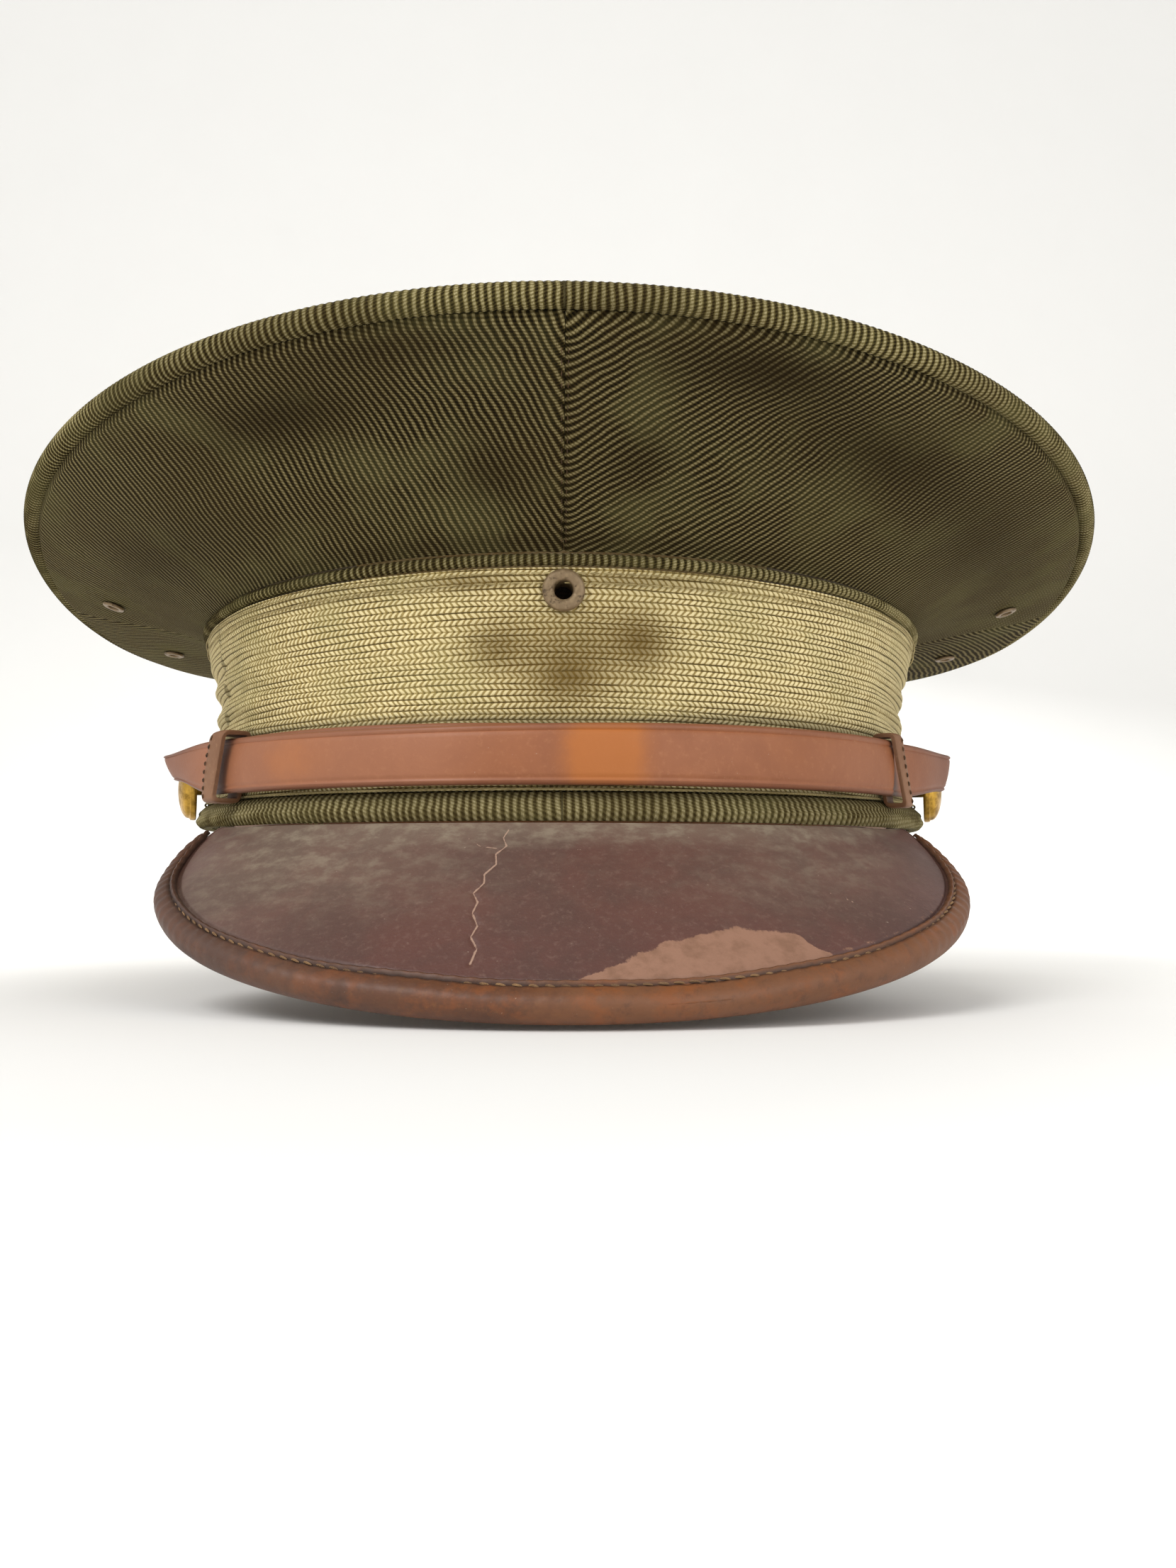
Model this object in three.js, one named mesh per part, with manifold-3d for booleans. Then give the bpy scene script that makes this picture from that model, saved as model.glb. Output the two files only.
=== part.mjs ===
// A military officer's peaked cap: oval crown held out by a grommet, mohair band, leather visor,
// two-piece chin strap on side buttons, sweatband, lining and eyelets. Millimetres, +Z up.
// The origin is the centre of the head opening in the plane of the band's lower edge, the front
// faces -Y, and "left" and "right" are the sides at -X and +X.
import * as THREE from "three";
import { mergeVertices } from "three/addons/utils/BufferGeometryUtils.js";
import Module from "manifold-3d";

const wasm = await Module();
wasm.setup();

// ---- Driving dimensions ----

// The head oval, measured on the outside of the mohair braid at the band's foot.
const BAND_HALF_WIDTH = 85;
const BAND_HALF_LENGTH = 104;
const FRONT_ARC_RADIUS = 78;
const RING_STEPS = 40;

// The band: how high it stands, and how its outline changes with height.
const BAND_HEIGHT = 46.4;
const SIDE_DROP = 2.9;
const WAIST_DEPTH = 3.3;
const WAIST_HEIGHT = 27;
const WAIST_SPREAD = 12;
const FRONT_LEAN = 1.2;
const SIDE_LEAN = 0.8;

// Layers of the band, from the braid's outer face inwards.
const GAP = 0.3;
const LAYER_GAP = 0.4;
const BRAID_THICKNESS = 1.4;
const CLOTH_THICKNESS = 1.0;
const STIFFENER_THICKNESS = 1.2;
const SWEATBAND_SPACE = 2.4;
const SWEATBAND_THICKNESS = 1.0;
const SWEATBAND_HEIGHT = 37;
const REED_RADIUS = 0.9;

// Welts (cloth piping).
const LOWER_WELT_HEIGHT = 4.9;
const LOWER_WELT_REACH = 2.1;
const UPPER_WELT_RADIUS = 1.2;
const EDGE_WELT_RADIUS = 2.3;

// The crown's rim, in the plane that the grommet holds.
const RIM_HALF_WIDTH = 124.6;
const RIM_FRONT = 148.8;
const RIM_BACK = 129;
const RIM_CENTRE_Y = 5.2;
const RIM_CENTRE_Z = 56.5;
const RIM_TILT = 9.45;
const RIM_BACK_LIFT = 15;
const TOP_DOME = 14;

// Cloth and stiffening of the crown.
const QUARTER_THICKNESS = 1.4;
const TOP_THICKNESS = 1.4;
const SEAM_GAP = 0.35;
const LINING_THICKNESS = 0.6;
const GROMMET_RADIUS = 1.0;
const STAY_WIDTH = 9;
const STAY_THICKNESS = 1.2;

// The visor, a leather-faced cone that falls away from the front of the band.
const VISOR_HALF_ANGLE = 60;
const VISOR_LENGTH = 47.4;
const VISOR_ROUNDNESS = 0.52;
const VISOR_SLOPE = 40.5;
const VISOR_END_SLOPE = 30.5;
const VISOR_LEATHER = 1.1;
const VISOR_CORE = 1.2;
const VISOR_LINING = 0.7;
const VISOR_DROP = 0.8;
const BINDING_THICKNESS = 0.8;
const BINDING_WIDTH = 6.2;

// The chin strap, its keepers and its buttons.
const STRAP_WIDTH = 11.1;
const STRAP_FOOT = 6;
const STRAP_THICKNESS = 1.2;
const KEEPER_LEATHER = 0.8;
const KEEPER_CLEARANCE = 1.1;
const KEEPER_WIDTH = 6.5;
const KEEPER_ANGLE = 56;
const STRAP_END_ANGLE = 54.2;
const BUTTON_ANGLE = 75;
const BUTTON_HEIGHT = 8.8;
const BUTTON_RADIUS = 7;
const BUTTON_DOME = 2.8;
const SHANK_RADIUS = 1.3;
const SHANK_CLEARANCE = 0.4;
const SHANK_SLIT = 1.5;
const RETAINER_SPACE = 1.25;
const SPLIT_RING_THICKNESS = 0.8;

// Eyelets.
const BADGE_HEIGHT = 41.8;
const BADGE_FLANGE_RADIUS = 3.95;
const BADGE_HOLE_RADIUS = 1.75;
const BADGE_BARREL_WALL = 0.7;
const BADGE_FLANGE_THICKNESS = 1.1;
const BADGE_BARREL_DEPTH = 6.1;
const VENT_FLANGE_RADIUS = 2.6;
const VENT_HOLE_RADIUS = 1.3;
const VENT_BARREL_WALL = 0.4;
const VENT_FLANGE_THICKNESS = 0.6;
const VENT_BARREL_DEPTH = 2.4;
const VENT_WASHER_SPACE = 0.7;
const WASHER_THICKNESS = 0.5;
const VENT_PLACES = [
  { name: "front", angle: 83.5, height: 0.62 },
  { name: "rear", angle: 102.5, height: 0.57 },
];

// ---- Small helpers ----

const rad = THREE.MathUtils.degToRad;
const V = (x, y, z) => new THREE.Vector3(x, y, z);
const UP = V(0, 0, 1);
const smooth = (a, b, x) => THREE.MathUtils.smoothstep(x, a, b);

// n values from a to b, both included.
const steps = (a, b, n) => Array.from({ length: n }, (_, i) => a + ((b - a) * i) / (n - 1));

// ---- The head oval: four arcs, so that every layer of the band is a true offset of the others ----

const FRONT_CENTRE = BAND_HALF_LENGTH - FRONT_ARC_RADIUS;
const NARROWING = BAND_HALF_WIDTH - FRONT_ARC_RADIUS;
const SIDE_CENTRE = (FRONT_CENTRE ** 2 - NARROWING ** 2) / (2 * NARROWING);
const SIDE_ARC_RADIUS = BAND_HALF_WIDTH + SIDE_CENTRE;
const JOIN_ANGLE = Math.atan2(SIDE_CENTRE, FRONT_CENTRE);

// The oval's outward normal at angle u, measured from the front (-Y) towards +X.
const ovalNormal = (u) => V(Math.sin(u), -Math.cos(u), 0);

// The point of the oval whose outward normal is at angle u.
function ovalPoint(u) {
  const n = ovalNormal(u);
  const onEnd = Math.abs(n.x) <= Math.sin(JOIN_ANGLE);
  const centre = onEnd
    ? V(0, FRONT_CENTRE * Math.sign(n.y), 0)
    : V(-SIDE_CENTRE * Math.sign(n.x), 0, 0);
  return centre.addScaledVector(n, onEnd ? FRONT_ARC_RADIUS : SIDE_ARC_RADIUS);
}

const bandTop = (u) => BAND_HEIGHT - SIDE_DROP * Math.sin(u) ** 2;

// How far the band's outline stands out from the oval at height z: it leans outwards towards its top,
// and is pinched in at a waist on each side.
function bandFlare(u, z) {
  const side = smooth(0.8, 1, Math.abs(Math.sin(u)));
  const waist = Math.exp(-(((z - WAIST_HEIGHT) / WAIST_SPREAD) ** 2));
  const rise = smooth(18, BAND_HEIGHT, z);
  return (1 - side) * FRONT_LEAN * rise + side * (SIDE_LEAN * rise - WAIST_DEPTH * waist);
}

// A point of the band at angle u and height z, d outwards from the braid's face.
function bandPoint(u, z, d) {
  return ovalPoint(u).addScaledVector(ovalNormal(u), d + bandFlare(u, z)).setZ(z);
}

// ---- The crown: a rim tilted up at the front, a wall below it and a domed top above it ----

const rimTilt = rad(RIM_TILT);
const rimBackward = V(0, Math.cos(rimTilt), -Math.sin(rimTilt));
const rimUp = V(0, Math.sin(rimTilt), Math.cos(rimTilt));
const rimCentre = V(0, RIM_CENTRE_Y, RIM_CENTRE_Z);

// The rim's outline in its own plane, as across and backward distances from its centre.
const rimAcross = (u) => RIM_HALF_WIDTH * Math.sin(u);
const rimAlong = (u) => -(Math.cos(u) > 0 ? RIM_FRONT : RIM_BACK) * Math.cos(u);
const rimDistance = (u) => Math.hypot(rimAcross(u), rimAlong(u));

// A point above or below the rim's plane: inset is the distance in from the rim, h the height.
function topPoint(u, inset, h) {
  const r = 1 - inset / rimDistance(u);
  const lift = RIM_BACK_LIFT * Math.max((-Math.cos(u) - 0.2) / 0.8, 0) ** 2 * r ** 2;
  const dome = TOP_DOME * Math.max(1 - r ** 2, 0) ** 1.5;
  return rimCentre
    .clone()
    .addScaledVector(V(1, 0, 0), rimAcross(u) * r)
    .addScaledVector(rimBackward, rimAlong(u) * r)
    .addScaledVector(rimUp, h + lift + dome);
}

const rimPoint = (u) => topPoint(u, 0, 0);
const rimCentreAt = (h) => topPoint(0, rimDistance(0), h);

// The wall's outer face: t runs from 0 at the band's upper welt to 1 at the rim.
function wallFace(u, t) {
  const foot = bandPoint(u, bandTop(u), -0.4).setZ(bandTop(u) + 2 * UPPER_WELT_RADIUS + GAP);
  const rim = rimPoint(u);
  const out = rim.clone().sub(foot).setZ(0);
  const rise = rim.z - foot.z;
  const low = foot.clone().addScaledVector(out, 0.26);
  low.z += 0.3 * Math.max(rise, 0) + 0.5;
  const high = rim.clone().addScaledVector(out, -0.3);
  high.z -= 0.26 * Math.max(rise, 0) + 2.5;
  return new THREE.CubicBezierCurve3(foot, low, high, rim).getPoint(t);
}

// A point d outwards from the crown wall's outer face.
function wallPoint(u, t, d) {
  const e = 1e-3;
  const along = wallFace(u + e, t).sub(wallFace(u - e, t));
  const upward = wallFace(u, t + e).sub(wallFace(u, t - e));
  const normal = along.cross(upward).normalize();
  return wallFace(u, t).addScaledVector(normal, d);
}

// ---- The visor ----

const visorLimit = rad(VISOR_HALF_ANGLE);
const visorSpread = (u) => Math.abs(u / visorLimit) ** 2.07;
const visorLength = (u) => VISOR_LENGTH * Math.max(1 - visorSpread(u), 0) ** VISOR_ROUNDNESS;

// A point of the visor at angle u, s down its slope from the band and d above its top face. Where s
// is negative it is on the flat flange that is sewn under the band.
function visorPoint(u, s, d) {
  const slope = rad(VISOR_SLOPE + (VISOR_END_SLOPE - VISOR_SLOPE) * visorSpread(u));
  const n = ovalNormal(u);
  const root = ovalPoint(u).addScaledVector(n, LOWER_WELT_REACH).setZ(-VISOR_DROP);
  const turn = s > 0 ? slope : s < 0 ? 0 : slope / 2;
  const fall = s > 0 ? slope : 0;
  const down = n.clone().multiplyScalar(Math.cos(fall)).addScaledVector(UP, -Math.sin(fall));
  const above = n.clone().multiplyScalar(Math.sin(turn)).addScaledVector(UP, Math.cos(turn));
  return root.addScaledVector(down, s).addScaledVector(above, d);
}

// ---- Solids ----

// Turns a geometry's faces outwards.
function outward(geometry) {
  const p = geometry.getAttribute("position");
  const index = geometry.index.array;
  const corner = (i) => new THREE.Vector3().fromBufferAttribute(p, index[i]);
  let volume = 0;
  for (let i = 0; i < index.length; i += 3) {
    volume += corner(i).dot(corner(i + 1).cross(corner(i + 2)));
  }
  if (volume < 0) {
    for (let i = 0; i < index.length; i += 3) {
      [index[i + 1], index[i + 2]] = [index[i + 2], index[i + 1]];
    }
  }
  return geometry;
}

// Sweeps a closed section along the values us. place(u, p, q) puts the section's point (p, q) in
// space. A ring closes on itself, and anything else gets a flat cap at each end.
function sweep(us, section, place, ring = false) {
  const profile = typeof section === "function" ? section : () => section;
  const count = profile(us[0]).length;
  const points = us.flatMap((u) => profile(u).map(([p, q]) => place(u, p, q)));
  const index = [];
  const spans = ring ? us.length : us.length - 1;
  for (let i = 0; i < spans; i++) {
    const a = i * count;
    const b = ((i + 1) % us.length) * count;
    for (let j = 0; j < count; j++) {
      const k = (j + 1) % count;
      index.push(a + j, b + j, b + k, a + j, b + k, a + k);
    }
  }
  if (!ring) {
    const flat = profile(us[0]).map(([p, q]) => new THREE.Vector2(p, q));
    const last = (us.length - 1) * count;
    const turned = THREE.ShapeUtils.area(flat) < 0;
    for (const [a, b, c] of THREE.ShapeUtils.triangulateShape(flat, [])) {
      const [x, y, z] = turned ? [a, c, b] : [a, b, c];
      index.push(x, y, z, last + x, last + z, last + y);
    }
  }
  const geometry = new THREE.BufferGeometry().setFromPoints(points);
  return outward(geometry.setIndex(index));
}

// The section of a sheet: through the values of p in across, and from q0 to q1 in thickness.
function sheetThrough(across, q0, q1) {
  return [...across.map((p) => [p, q1]), ...[...across].reverse().map((p) => [p, q0])];
}

// The same, from p0 to p1 in n strips.
const sheetSection = (p0, p1, n, q0, q1) => sheetThrough(steps(p0, p1, n + 1), q0, q1);

// The section of a round bead, centred on (p, q).
function beadSection(p, q, radius, sides = 6) {
  return Array.from({ length: sides }, (_, i) => {
    const a = (2 * Math.PI * (i + 0.5)) / sides;
    return [p + radius * Math.cos(a), q + radius * Math.sin(a)];
  });
}

const fullTurn = Array.from({ length: RING_STEPS }, (_, i) => (2 * Math.PI * i) / RING_STEPS);

// A closed geometry as a manifold solid, and back.
function solid(geometry) {
  const bare = (geometry.index ? geometry : geometry.clone()).clone();
  bare.deleteAttribute("normal");
  bare.deleteAttribute("uv");
  const merged = mergeVertices(bare, 1e-4);
  const vertProperties = merged.attributes.position.array;
  const triVerts = new Uint32Array(merged.index.array);
  return new wasm.Manifold(new wasm.Mesh({ numProp: 3, vertProperties, triVerts }));
}

function geometryOf(body) {
  const made = body.getMesh();
  const geometry = new THREE.BufferGeometry();
  geometry.setAttribute("position", new THREE.Float32BufferAttribute(made.vertProperties, 3));
  return geometry.setIndex([...made.triVerts]);
}

// Cuts round holes: each hole is a rod of that radius through a point, along a direction.
function pierced(geometry, holes) {
  let body = solid(geometry);
  for (const { at, along, radius, length = 12 } of holes) {
    const rod = new THREE.CylinderGeometry(radius, radius, length, 12);
    rod.applyQuaternion(new THREE.Quaternion().setFromUnitVectors(V(0, 1, 0), along));
    body = body.subtract(solid(rod.translate(at.x, at.y, at.z)));
  }
  return geometryOf(body);
}

const material = (color, roughness, metalness = 0) =>
  new THREE.MeshStandardMaterial({ color, roughness, metalness, side: THREE.DoubleSide });

const CLOTH = material("#3f3c27", 0.95);
const BRAID = material("#8f835a", 0.85);
const WELT = material("#4a4530", 0.95);
const VISOR_BROWN = material("#4b2f2b", 0.45);
const BINDING_BROWN = material("#5f3a22", 0.5);
const STRAP_BROWN = material("#9a573f", 0.45);
const SWEATBAND_TAN = material("#8a5a35", 0.6);
const BOARD = material("#6f6553", 0.9);
const LINING = material("#7c6a45", 0.6);
const SHIELD = material("#b39a62", 0.3);
const STEEL = material("#7c7c78", 0.4, 0.9);
const BRASS = material("#b08a3c", 0.35, 0.95);
const EYELET_PAINT = material("#6b5c45", 0.5, 0.6);

const cap = new THREE.Group();

function add(name, geometry, look, parent = cap) {
  const mesh = new THREE.Mesh(geometry, look);
  mesh.name = name;
  parent.add(mesh);
  return mesh;
}

// ---- Places that several pieces share ----

const layers = {};
layers.braid = [-BRAID_THICKNESS, 0];
layers.cloth = [layers.braid[0] - LAYER_GAP - CLOTH_THICKNESS, layers.braid[0] - LAYER_GAP];
layers.stiffener = [layers.cloth[0] - LAYER_GAP - STIFFENER_THICKNESS, layers.cloth[0] - LAYER_GAP];
const sweatbandFace = layers.stiffener[0] - SWEATBAND_SPACE;
layers.sweatband = [sweatbandFace - SWEATBAND_THICKNESS, sweatbandFace];

const SIDES = [
  { name: "left", sign: -1 },
  { name: "right", sign: 1 },
];
const buttonPlace = (sign) => {
  const u = sign * rad(BUTTON_ANGLE);
  return { at: ovalPoint(u).setZ(BUTTON_HEIGHT), along: ovalNormal(u) };
};
const shankHoles = SIDES.map(({ sign }) => ({
  ...buttonPlace(sign),
  radius: SHANK_RADIUS + SHANK_CLEARANCE,
}));
const badgePlace = { at: bandPoint(0, BADGE_HEIGHT, 0), along: V(0, -1, 0) };
const badgeHole = { ...badgePlace, radius: BADGE_HOLE_RADIUS + 1 };

// ---- The band ----

// Heights at which every layer bends, so that the layers stay parallel.
const BENDS = [12, 19, 27, 35];

// One layer of the band: a ring from z0 up to a height that may change round the oval.
function bandLayer([inner, outer], z0, top) {
  const section = (u) => sheetThrough([z0, ...BENDS, top(u)], inner, outer);
  return sweep(fullTurn, section, bandPoint, true);
}
const below = (drop) => (u) => bandTop(u) - drop;

const LAYER_FOOT = 0.4;
add(
  "mohair_braid",
  pierced(bandLayer(layers.braid, LOWER_WELT_HEIGHT + GAP, below(GAP)), [...shankHoles, badgeHole]),
  BRAID,
);
add(
  "band_cloth",
  pierced(bandLayer(layers.cloth, LAYER_FOOT, below(GAP)), [...shankHoles, badgeHole]),
  CLOTH,
);
add(
  "band_stiffener",
  pierced(bandLayer(layers.stiffener, LAYER_FOOT, below(1)), [...shankHoles, badgeHole]),
  BOARD,
);
add(
  "band_lower_welt",
  sweep(
    fullTurn,
    [
      [0, -1.3],
      [0, 0.9],
      [1.3, LOWER_WELT_REACH],
      [3.4, LOWER_WELT_REACH - 0.1],
      [LOWER_WELT_HEIGHT, 0.4],
      [LOWER_WELT_HEIGHT, -1.3],
    ],
    bandPoint,
    true,
  ),
  WELT,
);
add(
  "band_upper_welt",
  sweep(
    fullTurn,
    (u) => beadSection(bandTop(u) + UPPER_WELT_RADIUS, -0.4, UPPER_WELT_RADIUS),
    bandPoint,
    true,
  ),
  WELT,
);

// The sweatband hangs inside the band on a reed sewn along its lower edge.
add(
  "sweatband",
  bandLayer(layers.sweatband, 2 * REED_RADIUS + GAP, () => SWEATBAND_HEIGHT),
  SWEATBAND_TAN,
);
add(
  "sweatband_reed",
  sweep(
    fullTurn,
    beadSection(REED_RADIUS, sweatbandFace - SWEATBAND_THICKNESS / 2, REED_RADIUS),
    bandPoint,
    true,
  ),
  SWEATBAND_TAN,
);

// ---- The crown ----

// The quarters meet at the front, at the back and at each side.
const quarterTurn = (from) => {
  const margin = SEAM_GAP / 2 / FRONT_ARC_RADIUS;
  return steps(from + margin, from + Math.PI / 2 - margin, RING_STEPS / 4 + 1);
};
const QUARTERS = [
  { name: "crown_quarter_front_right", from: 0 },
  { name: "crown_quarter_rear_right", from: Math.PI / 2 },
  { name: "crown_quarter_rear_left", from: Math.PI },
  { name: "crown_quarter_front_left", from: 1.5 * Math.PI },
];
const WALL_STRIPS = 4;
const QUARTER_REACH = 0.94;
const ventHole = (u, height) => ({
  at: wallPoint(u, height, 0),
  along: wallPoint(u, height, 1).sub(wallPoint(u, height, 0)).normalize(),
  radius: VENT_HOLE_RADIUS + 0.7,
});
const ventHoles = SIDES.flatMap(({ sign }) =>
  VENT_PLACES.map(({ angle, height }) => ventHole(sign * rad(angle), height)),
);
for (const { name, from } of QUARTERS) {
  const sheet = sheetSection(0, QUARTER_REACH, WALL_STRIPS, -QUARTER_THICKNESS, 0);
  add(name, pierced(sweep(quarterTurn(from), sheet, wallPoint), ventHoles), CLOTH);
}

// Stiffening behind the front quarters: a stiff cloth, and a springy stay up its middle.
const FRONT_STIFFENER_ANGLE = 52;
const frontStiffener = [-QUARTER_THICKNESS - 1.3, -QUARTER_THICKNESS - 0.4];
const frontStay = [frontStiffener[0] - 0.4 - STAY_THICKNESS, frontStiffener[0] - 0.4];
const stayHalfAngle = STAY_WIDTH / 2 / FRONT_ARC_RADIUS;
add(
  "crown_front_stiffener",
  sweep(
    steps(-rad(FRONT_STIFFENER_ANGLE), rad(FRONT_STIFFENER_ANGLE), 17),
    sheetSection(0.04, 0.88, 3, ...frontStiffener),
    wallPoint,
  ),
  BOARD,
);
add(
  "crown_front_stay",
  sweep(
    steps(-stayHalfAngle, stayHalfAngle, 3),
    sheetSection(0.03, 0.86, 4, ...frontStay),
    wallPoint,
  ),
  STEEL,
);

// The side lining lies on the quarters, and passes in front over the stiffening.
const LINING_OFFSET = 2.7;
const LINING_FRONT_OFFSET = 5.2;
const LINING_REACH = 0.52;
function sideLining(u) {
  const front = smooth(0.26, 0.53, Math.cos(u));
  const face = -THREE.MathUtils.lerp(LINING_OFFSET, LINING_FRONT_OFFSET, front);
  return sheetSection(0.05, LINING_REACH, 3, face - LINING_THICKNESS, face);
}
add("crown_lining_side", sweep(fullTurn, sideLining, wallPoint, true), LINING);

// The top's parts are placed by their distance in from the rim and their height over it.
const TOP_HEIGHT = 4.4;
const EDGE_WELT_LIFT = EDGE_WELT_RADIUS + GAP;
const TOP_INSET = EDGE_WELT_RADIUS;
const GROMMET_INSET = 5.5;
const GROMMET_HEIGHT = 2.3;
const SLEEVE_WALL = 0.4;
const LINING_INSET = 14;
const LINING_TOP_HEIGHT = 1.9;
const RADII = [0.7, 0.42, 0.2];
const SHIELD_TOP = LINING_TOP_HEIGHT - GAP;
const SHIELD_THICKNESS = 0.5;

// A sheet round the crown's centre, between the heights h0 and h1. radii are its rings, as shares of
// the way out to the rim, and its edge stays that inset from the rim.
function crownDisc(inset, radii, h0, h1) {
  const at = (u, r, h) => topPoint(u, Math.max((1 - r) * rimDistance(u), inset), h);
  const rings = radii.length;
  const points = [];
  for (const h of [h1, h0]) {
    points.push(...radii.flatMap((r) => fullTurn.map((u) => at(u, r, h))), rimCentreAt(h));
  }
  const index = [];
  const face = rings * RING_STEPS + 1;
  for (let i = 0; i < RING_STEPS; i++) {
    const next = (i + 1) % RING_STEPS;
    for (let ring = 0; ring < rings - 1; ring++) {
      const a = ring * RING_STEPS;
      const b = a + RING_STEPS;
      index.push(a + i, a + next, b + next, a + i, b + next, b + i);
      const c = a + face;
      const d = b + face;
      index.push(c + i, d + next, c + next, c + i, d + i, d + next);
    }
    const last = (rings - 1) * RING_STEPS;
    index.push(last + i, last + next, face - 1);
    index.push(last + face + i, 2 * face - 1, last + face + next);
    index.push(i, face + i, face + next, i, face + next, next);
  }
  return outward(new THREE.BufferGeometry().setFromPoints(points).setIndex(index));
}

add(
  "crown_edge_welt",
  sweep(fullTurn, beadSection(0.1, EDGE_WELT_LIFT, EDGE_WELT_RADIUS), topPoint, true),
  WELT,
);
add(
  "crown_top_panel",
  crownDisc(TOP_INSET + GAP, [1, ...RADII], TOP_HEIGHT, TOP_HEIGHT + TOP_THICKNESS),
  CLOTH,
);
add(
  "crown_lining_top",
  crownDisc(LINING_INSET, [1, ...RADII], LINING_TOP_HEIGHT, LINING_TOP_HEIGHT + LINING_THICKNESS),
  LINING,
);
add(
  "sweat_shield",
  crownDisc(LINING_INSET, RADII.slice(1), SHIELD_TOP - SHIELD_THICKNESS, SHIELD_TOP),
  SHIELD,
);

// The grommet: a spring-steel wire round the rim, its ends joined at the back by a crimped sleeve.
const wireSection = beadSection(GROMMET_INSET, GROMMET_HEIGHT, GROMMET_RADIUS, 5);
add("crown_grommet_wire", sweep(fullTurn, wireSection, topPoint, true), STEEL);
function sleeveSection() {
  const angles = steps(rad(25), rad(335), 8);
  const arc = (r) =>
    angles.map((a) => [GROMMET_INSET + r * Math.cos(a), GROMMET_HEIGHT + r * Math.sin(a)]);
  const inner = GROMMET_RADIUS + GAP;
  return [...arc(inner + SLEEVE_WALL), ...arc(inner).reverse()];
}
const sleeveStations = fullTurn.slice(RING_STEPS / 2 - 1, RING_STEPS / 2 + 2);
add(
  "crown_grommet_sleeve",
  sweep(sleeveStations, sleeveSection(), topPoint),
  BRASS,
);

// ---- The visor ----

const visorLeaf = [0, -VISOR_LEATHER];
const visorCore = [visorLeaf[1] - GAP, visorLeaf[1] - GAP - VISOR_CORE];
const visorLining = [visorCore[1] - GAP, visorCore[1] - GAP - VISOR_LINING];
const VISOR_FLANGE = 6.6;
const VISOR_LEAF_ANGLE = 59.4;
// Stations round the visor, closer together towards its ends, where its outline turns.
const leafStations = steps(-Math.PI / 2, Math.PI / 2, 27).map(
  (a) => rad(VISOR_LEAF_ANGLE) * Math.sin(a),
);

// One leaf of the visor: a flange under the band, then the slope out to the binding.
function visorSheet([top, bottom]) {
  const section = (u) => {
    const out = steps(0, visorLength(u) - BINDING_THICKNESS - GAP, 4);
    const across = [-VISOR_FLANGE, ...out];
    return [...across.map((s) => [s, top]), ...across.reverse().map((s) => [s, bottom])];
  };
  return sweep(leafStations, section, visorPoint);
}
add("visor_top_leather", visorSheet(visorLeaf), VISOR_BROWN);
add("visor_core", visorSheet(visorCore), BOARD);
add("visor_lining", visorSheet(visorLining), VISOR_BROWN);

// The binding: a leather channel folded over the visor's edge.
function bindingSection(u) {
  const edge = visorLength(u);
  const width = Math.min(BINDING_WIDTH, edge / 2);
  const top = visorLeaf[0] + GAP;
  const foot = visorLining[1] - GAP;
  const skin = BINDING_THICKNESS;
  return [
    [-width, top + skin],
    [-1.4, top + skin],
    [-0.4, top + 0.3],
    [0, top - 1.2],
    [0, foot + 1.2],
    [-0.4, foot - 0.3],
    [-1.4, foot - skin],
    [-width * 0.9, foot - skin],
    [-width * 0.9, foot],
    [-skin, foot],
    [-skin, top],
    [-width, top],
  ].map(([p, q]) => [edge + p, q]);
}
add(
  "visor_binding",
  sweep(leafStations.slice(1, -1), bindingSection, visorPoint),
  BINDING_BROWN,
);

// ---- The chin strap ----

// How far each layer's middle lies out from the braid where the strap crosses the front.
const STRAP_SKIN_GAP = 0.25;
const innerStrapOut = KEEPER_CLEARANCE + KEEPER_LEATHER + STRAP_SKIN_GAP + STRAP_THICKNESS / 2;
const outerStrapOut = innerStrapOut + STRAP_THICKNESS + STRAP_SKIN_GAP;
const LEAVING_ANGLE = 58.8;
const STRAP_AT_BUTTON = 1.3;
const STRAP_FLARE = 6;
const STRAP_RUN = 26;
const TUCK_ANGLE = 71.2;
const TAB_ANGLE = 80;
const frontCentre = V(0, -FRONT_CENTRE, 0);

// The plan of one strap at the right side of the cap, from an angle on the front arc to its tab:
// round the front, straight off the curve, a sharp crease inwards, then flat under the button.
function strapPlan(from, out) {
  const r = FRONT_ARC_RADIUS + out;
  const onArc = (u) => frontCentre.clone().addScaledVector(ovalNormal(u), r);
  const arc = steps(from, rad(LEAVING_ANGLE), 24).map(onArc);
  const leaving = rad(LEAVING_ANGLE);
  const heading = leaving - rad(STRAP_FLARE);
  const ahead = V(Math.cos(heading), Math.sin(heading), 0);
  const crease = onArc(leaving).addScaledVector(ahead, STRAP_RUN);
  const beside = (angle, d) => {
    const u = rad(angle);
    return ovalPoint(u).addScaledVector(ovalNormal(u), d);
  };
  return [
    ...arc,
    onArc(leaving).addScaledVector(ahead, STRAP_RUN / 2),
    crease,
    crease.clone().add(V(0.5, 1.4, 0)),
    crease.clone().add(V(-0.1, 2.6, 0)),
    beside(TUCK_ANGLE, STRAP_AT_BUTTON),
    beside(BUTTON_ANGLE, STRAP_AT_BUTTON),
    beside(TAB_ANGLE, STRAP_AT_BUTTON + 0.2),
  ];
}

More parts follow.
